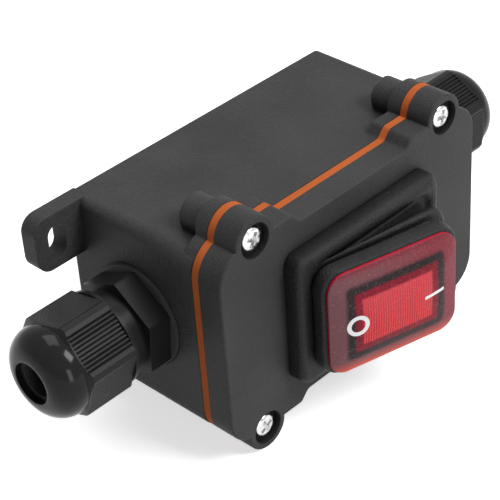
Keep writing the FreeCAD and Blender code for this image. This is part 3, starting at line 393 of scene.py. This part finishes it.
PATCH_SCALE = 1400.0
METAL_DARK = 0.82
METAL_BRIGHT = 1.1
METAL_SMOOTHER = 0.08
METAL_ROUGHER = 0.1
METAL_RELIEF = 0.000003


def metal(name, colour, rough):
    """Plated metal with a slightly uneven shine."""
    nodes = Nodes(name)
    patches = nodes.noise(PATCH_SCALE, detail=5.0)
    nodes.set(
        Base_Color=nodes.colours(patches, tinted(colour, METAL_DARK), tinted(colour, METAL_BRIGHT)),
        Roughness=nodes.span(patches, NOISE_LOW, NOISE_HIGH, rough - METAL_SMOOTHER, rough + METAL_ROUGHER),
        Normal=nodes.bump(patches, METAL_RELIEF),
        Metallic=1.0)
    return nodes


GLASS_CLOUDS = 300.0
GLASS_DARK = (0.9, 0.88, 0.85)
GLASS_PALE = (1.0, 0.97, 0.94)


def lamp_glass():
    """Clear glass with faint warm clouds."""
    nodes = Nodes("lamp_glass")
    nodes.set(
        Base_Color=nodes.colours(nodes.noise(GLASS_CLOUDS, detail=3.0), GLASS_DARK, GLASS_PALE),
        Roughness=0.08,
        Transmission_Weight=0.9,
        IOR=1.5)
    return nodes


# half sizes, widths and pitches in millimetres of what shows through the cap, seen on its crown
RING_HALF_X = 11.6
RING_HALF_Z = 8.75
RING_CORNER = 1.1
RING_WIDTH = 1.6
BAND_WIDTH = 1.6
DOT_PITCH_ALONG = 0.58
DOT_PITCH_UP = 0.50
# how strong the rows stay between two dots, and the wave's height at which a dot begins
ROW_STRENGTH = 0.2
DOT_FROM = -0.6
BLUR = 0.40
# where the cap's colours change, its painted reflection and its painted glow among them, in millimetres on
# the level rocker
REFLECTION_FROM = -7.0
REFLECTION_TO = 5.0
REFLECTION_SHARE = 0.55
LIP_REFLECTION_FROM = -12.0
LIP_REFLECTION_TO = 14.0
LIP_GLOW_FROM = -8.6
LIP_GLOW_TO = -11.4
EDGE_GLOW_FROM = -9.0
EDGE_GLOW_TO = -11.0
# how far past the dark frame's level the cap's upper and lower edges begin; the lower edge carries a painted
# glow
EDGE_FROM = 1.9
EDGE_TO = 3.3
# heights above the pivot where the crown goes over into the cap's side
CROWN_END = 14.05
SIDE_START = 13.85
# colours of the cap; the lip's left colour holds a painted reflection, and the lip's low colour and the lower
# edge's colour a painted glow
DOT_DARK = (0.44, 0.016, 0.026)
DOT_BRIGHT = (0.98, 0.085, 0.085)
PAINTED_REFLECTION = (0.60, 0.080, 0.105)
BAND_DARK = (0.10, 0.008, 0.018)
BAND_RED = (0.34, 0.012, 0.032)
FRAME_DARK = (0.014, 0.011, 0.012)
FRAME_PALE = (0.030, 0.020, 0.022)
LIP_LEFT_REFLECTION = (0.175, 0.072, 0.082)
LIP_RIGHT = (0.23, 0.040, 0.052)
LIP_LOW_GLOW = (0.50, 0.090, 0.080)
EDGE_HIGH = (0.20, 0.030, 0.045)
EDGE_LOW_GLOW = (0.80, 0.110, 0.045)
SIDE_RED = (0.42, 0.008, 0.028)
FROST = (0.07, 0.05, 0.05)
FROST_SCALE = 2300.0
FROST_LOW = 0.54
FROST_HIGH = 0.74
FROST_RELIEF = 0.00003
CAP_CLOUDS = 260.0
CAP_EDGE = 0.0002
CAP_SMOOTH = 0.30
CAP_ROUGH = 0.42


def place_on_rocker(nodes):
    """Where a point lies on the level rocker, in millimetres: along, minus its height, and up."""
    level = nodes.add("ShaderNodeMapping", vector_type="POINT")
    level.inputs["Scale"].default_value = (1 / MM, 1 / MM, 1 / MM)
    level.inputs["Rotation"].default_value = (0, 0, TILT)
    level.inputs["Location"].default_value = -(Matrix.Rotation(TILT, 3, "Z") @ PIVOT) / MM
    nodes.join(nodes.place, level.inputs["Vector"])
    return nodes.parts(level.outputs["Vector"])


def past_frame(nodes, along, up):
    """How far a point lies outside the dark frame, a rounded rectangle; less than 0 is inside."""
    past_x = nodes.math("SUBTRACT", nodes.magnitude(along), RING_HALF_X - RING_CORNER)
    past_z = nodes.math("SUBTRACT", nodes.magnitude(up), RING_HALF_Z - RING_CORNER)
    corner_x = nodes.math("POWER", nodes.math("MAXIMUM", past_x, 0.0), 2.0)
    corner_z = nodes.math("POWER", nodes.math("MAXIMUM", past_z, 0.0), 2.0)
    round_part = nodes.math("SQRT", nodes.math("ADD", corner_x, corner_z))
    flat_part = nodes.math("MINIMUM", nodes.math("MAXIMUM", past_x, past_z), 0.0)
    return nodes.math("SUBTRACT", nodes.math("ADD", round_part, flat_part), RING_CORNER)


def wave(nodes, place, pitch):
    """Goes between -1 and 1 once in each pitch."""
    return nodes.math("COSINE", nodes.math("MULTIPLY", place, 2 * math.pi / pitch))


def dotted_field(nodes, along, up):
    """The bright field: upright rows of fine dots, under a painted reflection that grows towards the top."""
    rows = wave(nodes, along, DOT_PITCH_ALONG)
    levels = nodes.span(wave(nodes, up, DOT_PITCH_UP), -1.0, 1.0, ROW_STRENGTH, 1.0)
    waves = nodes.math("MULTIPLY", rows, levels)
    dots = nodes.mix(nodes.span(waves, DOT_FROM, 1.0), DOT_DARK, DOT_BRIGHT)
    # painted reflection over the field, stronger towards the top
    return nodes.mix(nodes.span(up, REFLECTION_FROM, REFLECTION_TO, 0.0, REFLECTION_SHARE, soft=True), dots, PAINTED_REFLECTION)


def lip_with_painted_light(nodes, along, up):
    """The outer lip: greyer at the left from a painted reflection, redder at the right, with a painted glow
    low down; past the frame's level it is dark red along its upper edge and has a brighter painted glow along
    its lower edge.
    """
    past_level = nodes.math("SUBTRACT", nodes.magnitude(up), RING_HALF_Z)
    lip = nodes.mix(nodes.rise(along, LIP_REFLECTION_FROM, LIP_REFLECTION_TO), LIP_LEFT_REFLECTION, LIP_RIGHT)
    lip = nodes.mix(nodes.rise(up, LIP_GLOW_FROM, LIP_GLOW_TO), lip, LIP_LOW_GLOW)
    edge = nodes.mix(nodes.span(up, EDGE_GLOW_FROM, EDGE_GLOW_TO), EDGE_HIGH, EDGE_LOW_GLOW)
    return nodes.mix(nodes.rise(past_level, EDGE_FROM, EDGE_TO), lip, edge)


def clear_red():
    """Clear red plastic: an outer lip with painted reflection and painted glow round a dark frame, an inner
    band, and a field of fine dots under a painted reflection.
    """
    nodes = Nodes("clear_red")
    along, below, up = place_on_rocker(nodes)
    beyond = past_frame(nodes, along, up)
    clouds = nodes.noise(CAP_CLOUDS, detail=5.0)
    band = nodes.mix(clouds, BAND_DARK, BAND_RED)
    frame_wall = nodes.mix(clouds, FRAME_DARK, FRAME_PALE)
    field_end = -RING_WIDTH - BAND_WIDTH
    shade = dotted_field(nodes, along, up)
    shade = nodes.mix(nodes.rise(beyond, field_end - BLUR, field_end + BLUR), shade, band)
    shade = nodes.mix(nodes.rise(beyond, -RING_WIDTH - BLUR, -RING_WIDTH + BLUR), shade, frame_wall)
    # the outer lip, with its painted reflection and painted glow
    shade = nodes.mix(nodes.rise(beyond, -BLUR, 2 * BLUR), shade, lip_with_painted_light(nodes, along, up))
    shade = nodes.mix(nodes.rise(below, -CROWN_END, -SIDE_START), shade, SIDE_RED)
    frost = nodes.noise(FROST_SCALE, detail=2.0)
    specks = nodes.mix(nodes.span(frost, FROST_LOW, FROST_HIGH), BLACK, FROST)
    nodes.set(
        Base_Color=nodes.mix(1.0, shade, specks, blend="ADD"),
        Roughness=nodes.span(clouds, NOISE_LOW, NOISE_HIGH, CAP_SMOOTH, CAP_ROUGH),
        Normal=nodes.bump(frost, FROST_RELIEF, nodes.soft_edges(CAP_EDGE)),
        Specular_IOR_Level=0.1)
    return nodes


DIMPLE_BRIGHT = (0.95, 0.16, 0.17)
DIMPLE_DARK = (0.62, 0.03, 0.05)
DIMPLE_SCALE = 1800.0
DIMPLE_SCATTER = 0.12
DIMPLE_LOW = 0.15
DIMPLE_HIGH = 0.6
DIMPLE_DEPTH = 0.0001


def dimpled_red():
    """The diffuser under the cap: rows of fine dimples."""
    nodes = Nodes("bright_red")
    cells = nodes.add("ShaderNodeTexVoronoi", feature="F1", distance="EUCLIDEAN")
    cells.inputs["Scale"].default_value = DIMPLE_SCALE
    cells.inputs["Randomness"].default_value = DIMPLE_SCATTER
    nodes.join(nodes.place, cells.inputs["Vector"])
    dimple = cells.outputs["Distance"]
    nodes.set(
        Base_Color=nodes.colours(dimple, DIMPLE_BRIGHT, DIMPLE_DARK, DIMPLE_LOW, DIMPLE_HIGH),
        Normal=nodes.bump(dimple, DIMPLE_DEPTH),
        Roughness=0.35)
    return nodes


def make_materials():
    """Each material by the short name that the pieces ask for."""
    made = {
        "box": moulded("box_plastic", (0.041, 0.041, 0.042), rough=0.55, grain=2300.0, depth=0.00014,
                       specular=0.14, spread=0.26, edge=0.00022, crease_shade=0.007),
        "gasket": gasket_rubber(),
        "boot": boot_rubber(),
        "gland": gland_nylon(),
        "gland_rubber": moulded("gland_rubber", (0.05, 0.05, 0.05), rough=0.5, grain=1500.0, depth=0.00001,
                                specular=0.2),
        "switch": moulded("switch_plastic", (0.014, 0.014, 0.015), rough=0.45, grain=2000.0, depth=0.00001,
                          specular=0.25),
        "white": moulded("white_paint", (0.92, 0.92, 0.92), rough=0.5, grain=1500.0, depth=0.000004,
                         specular=0.2, spread=0.03),
        "nylon": moulded("nylon", (0.72, 0.70, 0.64), rough=0.4, grain=900.0, depth=0.00001,
                         specular=0.5, spread=0.05),
        "resistor": moulded("resistor_body", (0.45, 0.27, 0.13), rough=0.45, grain=900.0, depth=0.00001,
                            specular=0.5, spread=0.1),
        "zinc": metal("zinc_steel", (0.66, 0.66, 0.67), rough=0.22),
        "brass": metal("contact_brass", (0.72, 0.50, 0.20), rough=0.28),
        "spring": metal("spring_steel", (0.50, 0.50, 0.52), rough=0.3),
        "glass": lamp_glass(),
        "cap": clear_red(),
        "insert": dimpled_red(),
    }
    return {key: nodes.material for key, nodes in made.items()}


# Rubber boot, in millimetres

BOOT_HALF_X = 21.4
BOOT_HALF_Z = 15.5
BOOT_STEPS = 6
# how far in front of the pivot the rubber starts to follow the rocker, and where it follows it fully
BEND_START = 4.6
BEND_END = 9.9
# height above the pivot, inset along, inset up, corner: the outside of the boot from the cover to the cap
BOOT_OUTSIDE = [
    (0.8, 0.0, 0.0, 2.6),
    (3.2, -0.05, 0.0, 2.6),
    (4.3, 0.15, 0.15, 2.6),
    (5.1, 0.8, 0.75, 2.7),
    (5.5, 1.8, 1.6, 2.9),
    (5.4, 3.0, 2.6, 3.0),
    (4.7, 4.2, 3.5, 3.0),
    (4.9, 5.1, 4.2, 3.0),
    (6.2, 5.3, 4.3, 3.2),
    (7.2, 4.5, 3.1, 3.6),
    (7.9, 4.1, 2.5, 3.8),
    (8.4, 4.6, 2.9, 3.8),
    (8.6, 5.9, 4.0, 3.6),
    (9.2, 6.1, 4.2, 3.6),
    (9.6, 5.3, 3.2, 4.0),
    (10.2, 5.0, 2.8, 4.2),
    (11.6, 5.0, 2.7, 4.3),
    (12.9, 5.2, 2.9, 4.3),
    (13.3, 5.7, 3.3, 4.2),
]
# height, half along, half up, corner: the inside, from the mouth round the rocker's frame to the cover
BOOT_INSIDE = [
    (13.3, 10.8, 9.15, 1.0),
    (9.8, 10.8, 9.15, 1.0),
    (9.2, 12.8, 10.1, 1.6),
    (3.9, 13.4, 10.4, 1.6),
    (3.3, 15.7, 12.7, 1.2),
    (0.8, 15.7, 12.7, 1.2),
]


def make_boot(material):
    """The rubber boot, drawn level, told to bend between box and rocker, then bent to the rest tilt."""
    rings = [(height, rounded_ring(BOOT_HALF_X - less_x, BOOT_HALF_Z - less_z, corner))
             for height, less_x, less_z, corner in spline(BOOT_OUTSIDE, BOOT_STEPS)]
    rings += [(height, rounded_ring(half_x, half_z, corner))
              for height, half_x, half_z, corner in BOOT_INSIDE]
    points, faces = skin([[on_rocker(along, height, up, share=0.0) for along, up in ring]
                          for height, ring in rings])
    boot = mesh_piece("rubber_boot_bellows", points, faces)
    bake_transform(boot, "root", "rocker", start=PIVOT - Vector((0, BEND_START * MM, 0)),
             end=PIVOT - Vector((0, BEND_END * MM, 0)))
    shares = boot.data.attributes["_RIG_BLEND"].data
    for vertex, share in zip(boot.data.vertices, shares):
        turned = Matrix.Rotation(-TILT * share.value, 3, "Z") @ (vertex.co - PIVOT)
        vertex.co = PIVOT + turned
    boot.data.update()
    boot.data.materials.append(material)
    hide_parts("rubber_boot")


# Marks on the cap, in millimetres

# how far the print stands out of the crown and reaches into it, and from what height the crown is sought
PRINT_HEIGHT = 0.03
RAY_START = 30.0
OFF_CENTRE = (-9.5, -0.4)
OFF_RADIUS = 2.42
OFF_STROKE = 0.92
OFF_STEPS = 96
ON_START = 6.4
ON_END = 11.6
ON_HALF_STROKE = 0.36
ON_LEVEL = -0.4
ON_STEPS = 24


class Crown:
    """Finds the front surface of the cap, so that the marks lie on it."""

    def __init__(self):
        mesh = frame["nodes"]["rocker_cap"].data
        self.tree = BVHTree.FromPolygons([vertex.co for vertex in mesh.vertices],
                                         [tuple(face.vertices) for face in mesh.polygons])
        self.out = (on_rocker(0, 1, 0) - on_rocker(0, 0, 0)).normalized()

    def point(self, along, up, lift):
        """A place on the crown, lifted off it by millimetres."""
        hit = self.tree.ray_cast(on_rocker(along, RAY_START, up), -self.out)[0]
        return hit + self.out * lift * MM


def off_ring(crown):
    """Points and faces of the ring at the off end."""
    hole = OFF_RADIUS - OFF_STROKE
    turns = [2 * math.pi * step / OFF_STEPS for step in range(OFF_STEPS)]
    section = ((hole, PRINT_HEIGHT), (OFF_RADIUS, PRINT_HEIGHT),
               (OFF_RADIUS, -PRINT_HEIGHT), (hole, -PRINT_HEIGHT))
    rings = []
    for radius, lift in section:
        rings.append([crown.point(OFF_CENTRE[0] + radius * math.cos(turn),
                                  OFF_CENTRE[1] + radius * math.sin(turn), lift) for turn in turns])
    return skin(rings)


def on_bar(crown):
    """Points and faces of the bar at the on end."""
    edge = [ON_START + (ON_END - ON_START) * step / ON_STEPS for step in range(ON_STEPS + 1)]
    points = []
    for lift in (PRINT_HEIGHT, -PRINT_HEIGHT):
        points += [crown.point(along, ON_LEVEL - ON_HALF_STROKE, lift) for along in edge]
        points += [crown.point(along, ON_LEVEL + ON_HALF_STROKE, lift) for along in reversed(edge)]
    count = len(points) // 2
    faces = []
    for index in range(count):
        after = (index + 1) % count
        faces.append((index, after, count + after, count + index))
    for base in (0, count):
        faces += [(base + index, base + index + 1, base + count - 2 - index, base + count - 1 - index)
                  for index in range(ON_STEPS)]
    return points, faces


def make_marks(material):
    """The printed ring and bar, which ride on the rocker."""
    crown = Crown()
    for name, outline in (("off_mark", off_ring), ("on_mark", on_bar)):
        mark = mesh_piece(name, *outline(crown), smooth=False)
        mark.data.materials.append(material)
        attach(mark, "rocker")


# Cover screws, in millimetres

SCREW_HEAD_RADIUS = 2.75
# radius and distance behind the front of the head
SCREW_OUTLINE = [(0.0, 0.0), (1.1, 0.01), (1.75, 0.07), (2.25, 0.26), (2.6, 0.6), (2.74, 1.0), (2.75, 1.25),
                 (2.68, 1.48), (1.5, 1.5), (1.5, 13.4), (1.1, 14.0), (0.0, 14.0)]
SCREW_STEPS = 48
# how far each screw is turned, in degrees
SCREW_TURNS = (28.0, 61.0, 12.0, 40.0)
# half length and half width of the cross at the front and at its floor, and where these lie
CROSS_MOUTH = (1.85, 0.50)
CROSS_FLOOR = (0.95, 0.26)
CROSS_START = -0.2
CROSS_DEPTH = 1.1
CROSS_CORNERS = 12
SAME_POINT = 1e-4
SCREW_SHARP = math.radians(30)


def turned_piece(name, outline, steps):
    """A round piece about its own axis, which points out of the wall, from (radius, distance back)."""
    turns = [2 * math.pi * step / steps for step in range(steps)]
    rings = [[(radius * math.cos(turn), back, radius * math.sin(turn)) for turn in turns]
             for radius, back in outline]
    piece = mesh_piece(name, *skin(rings, closed=False))
    work = bmesh.new()
    work.from_mesh(piece.data)
    bmesh.ops.remove_doubles(work, verts=work.verts, dist=SAME_POINT)
    bmesh.ops.recalc_face_normals(work, faces=work.faces)
    work.to_mesh(piece.data)
    work.free()
    return piece


def cross_outline(length, width, back):
    """The corners of a cross at a distance behind the head's front."""
    corners = []
    for quarter in range(4):
        turn = Matrix.Rotation(math.radians(90 * quarter), 2)
        for point in ((length, -width), (length, width), (width, width)):
            x, z = turn @ Vector(point)
            corners.append((x, back, z))
    return corners


def crossed_screw():
    """A pan-head screw's mesh in millimetres, with the cross cut into its head."""
    cross = [cross_outline(*CROSS_MOUTH, CROSS_START), cross_outline(*CROSS_FLOOR, CROSS_DEPTH)]
    points, faces = skin(cross, closed=False)
    faces += [tuple(range(CROSS_CORNERS)), tuple(range(CROSS_CORNERS, 2 * CROSS_CORNERS))]
    tool = mesh_piece("screw_cross", points, faces, smooth=False)
    blank = turned_piece("screw_blank", SCREW_OUTLINE, SCREW_STEPS)
    cut = blank.modifiers.new("cross", "BOOLEAN")
    cut.operation = "DIFFERENCE"
    cut.solver = "EXACT"
    cut.object = tool
    bpy.context.view_layer.update()
    ready = blank.evaluated_get(bpy.context.evaluated_depsgraph_get())
    mesh = bpy.data.meshes.new_from_object(ready)
    for spare in (blank, tool):
        bpy.data.objects.remove(spare)
    return mesh


def make_screws(material):
    """Four pan-head screws, joined in one piece, where the CAD has them."""
    low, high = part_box("cover_screws")
    middle_x = (high.x + low.x) / 2
    middle_z = (high.z + low.z) / 2
    reach_x = (high.x - low.x) / 2 - SCREW_HEAD_RADIUS * MM
    reach_z = (high.z - low.z) / 2 - SCREW_HEAD_RADIUS * MM
    screw = crossed_screw()
    made = bmesh.new()
    places = [(side, level) for side in (-1, 1) for level in (1, -1)]
    for (side, level), turn in zip(places, SCREW_TURNS):
        seat = Matrix.Translation((middle_x + side * reach_x, low.y, middle_z + level * reach_z))
        placed = screw.copy()
        placed.transform(seat @ Matrix.Rotation(math.radians(turn), 4, "Y") @ Matrix.Scale(MM, 4))
        made.from_mesh(placed)
    whole = bpy.data.meshes.new("cross_head_screws")
    made.to_mesh(whole)
    made.free()
    whole.set_sharp_from_angle(angle=SCREW_SHARP)
    screws = new_object("cross_head_screws", whole)
    whole.materials.clear()
    whole.materials.append(material)
    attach(screws, "root")
    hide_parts("cover_screws")


# Nodes of the CAD

CAD_SHARP = math.radians(28)


def dress(materials):
    """Gives each node its material and smooth faces."""
    wear = {
        "base_housing": "box", "front_cover": "box", "cover_gasket": "gasket", "cover_screws": "zinc",
        "switch_body": "switch", "rocker_cap": "cap", "rocker_actuator": "switch", "lens_insert": "insert",
        "indicator_lamp": "glass", "lamp_resistor": "resistor",
    }
    for name in ("upper", "lower"):
        wear["plunger_" + name] = "nylon"
        wear["plunger_spring_" + name] = "spring"
        wear["contact_bridge_" + name] = "brass"
        wear["terminal_common_" + name] = "brass"
        wear["terminal_line_" + name] = "brass"
    for name in ("left", "right"):
        wear["gland_body_" + name] = "gland"
        wear["gland_washer_" + name] = "gland_rubber"
        wear["gland_locknut_" + name] = "gland"
        wear["gland_seal_" + name] = "gland_rubber"
        wear["gland_nut_" + name] = "gland"
    for name, key in wear.items():
        mesh = frame["nodes"][name].data
        mesh.materials.clear()
        mesh.materials.append(materials[key])
        for face in mesh.polygons:
            face.use_smooth = True
        mesh.set_sharp_from_angle(angle=CAD_SHARP)


# Floor and light

FLOOR_HALF = 3.0
FLOOR_GAP = 0.00002
FLOOR_BOUNCE = (0.50, 0.50, 0.50)
FLOOR_WHITE = (0.95, 0.95, 0.95)
FLOOR_GLOW = (0.62, 0.62, 0.62)
# distances from the part over which the floor's glow goes up to full white
GLOW_NEAR = 0.25
GLOW_FAR = 0.9
AMBIENT = 0.10
LAMP_TARGET = Vector((0, -0.02, 0))
# name, place, width and height in metres, watts
LAMPS = [
    ("key", (0.32, -0.78, 0.92), (0.5, 0.5), 11.5),
    ("fill", (-0.32, -0.92, 0.20), (0.25, 0.45), 1.9),
    ("top", (0.12, 0.22, 1.15), (0.7, 0.7), 5.5),
]


def seen_share(tree):
    """A socket that is 1 for rays from the camera, a reflection or through glass, and 0 for diffuse light."""
    path = tree.nodes.new("ShaderNodeLightPath")
    share = path.outputs["Is Camera Ray"]
    for name in ("Is Glossy Ray", "Is Transmission Ray"):
        most = tree.nodes.new("ShaderNodeMath")
        most.operation = "MAXIMUM"
        tree.links.new(share, most.inputs[0])
        tree.links.new(path.outputs[name], most.inputs[1])
        share = most.outputs[0]
    return share


def floor_white():
    """White that throws little light back up, and glows where it is seen, more so far away."""
    nodes = Nodes("floor_white")
    seen = seen_share(nodes.tree)
    far = nodes.add("ShaderNodeVectorMath", operation="LENGTH")
    nodes.join(nodes.place, far.inputs[0])
    glow = nodes.mix(nodes.span(far.outputs["Value"], GLOW_NEAR, GLOW_FAR), FLOOR_GLOW, WHITE)
    nodes.set(
        Base_Color=nodes.mix(seen, FLOOR_BOUNCE, FLOOR_WHITE),
        Emission_Color=nodes.mix(seen, BLACK, glow),
        Emission_Strength=1.0,
        Roughness=1.0,
        Specular_IOR_Level=0.0)
    return nodes.material


def make_floor():
    """A plain floor at the lowest point of the part."""
    level = cad_box[0].z - FLOOR_GAP
    corners = [(-FLOOR_HALF, -FLOOR_HALF, level), (FLOOR_HALF, -FLOOR_HALF, level),
               (FLOOR_HALF, FLOOR_HALF, level), (-FLOOR_HALF, FLOOR_HALF, level)]
    floor = mesh_piece("floor", corners, [(0, 1, 2, 3)], smooth=False)
    floor.data.materials.append(floor_white())


def make_lamp(name, place, size, watts):
    lamp = bpy.data.lights.new(name, "AREA")
    lamp.shape = "RECTANGLE"
    lamp.size, lamp.size_y = size
    lamp.energy = watts
    thing = new_object(name, lamp)
    thing.location = place
    thing.rotation_mode = "QUATERNION"
    thing.rotation_quaternion = (LAMP_TARGET - Vector(place)).to_track_quat("-Z", "Y")


def make_world():
    """A world that is seen as white and lights softly from all round."""
    world = bpy.data.worlds.new("studio")
    bpy.context.scene.world = world
    world.use_nodes = True
    background = world.node_tree.nodes["Background"]
    background.inputs["Color"].default_value = (*WHITE, 1)
    level = world.node_tree.nodes.new("ShaderNodeMapRange")
    level.inputs["To Min"].default_value = AMBIENT
    world.node_tree.links.new(seen_share(world.node_tree), level.inputs["Value"])
    world.node_tree.links.new(level.outputs["Result"], background.inputs["Strength"])


# Camera

LENS = 120.22
SENSOR = 36.0
CAMERA_PLACE = (-0.207716, -0.228745, 0.203804)
# degrees: turned from looking along +Y, tipped up from looking straight down, and rolled about its own axis
CAMERA_TURN = -43.8697
CAMERA_TIP = 54.6716
CAMERA_ROLL = -4.1408


def make_camera():
    """The photograph's view, from the front left and about 35 degrees above."""
    data = bpy.data.cameras.new("camera")
    data.sensor_width = SENSOR
    data.lens = LENS
    data.clip_start = 0.01
    camera = new_object("camera", data)
    turn = Matrix.Rotation(math.radians(CAMERA_TURN), 4, "Z")
    tip = Matrix.Rotation(math.radians(CAMERA_TIP), 4, "X")
    roll = Matrix.Rotation(math.radians(CAMERA_ROLL), 4, "Z")
    camera.matrix_world = Matrix.Translation(Vector(CAMERA_PLACE)) @ turn @ tip @ roll
    bpy.context.scene.camera = camera


def main():
    bpy.context.scene.view_settings.view_transform = "Standard"
    make_camera()
    make_world()
    for lamp in LAMPS:
        make_lamp(*lamp)
    make_floor()
    materials = make_materials()
    dress(materials)
    make_boot(materials["boot"])
    make_marks(materials["white"])
    make_screws(materials["zinc"])


main()
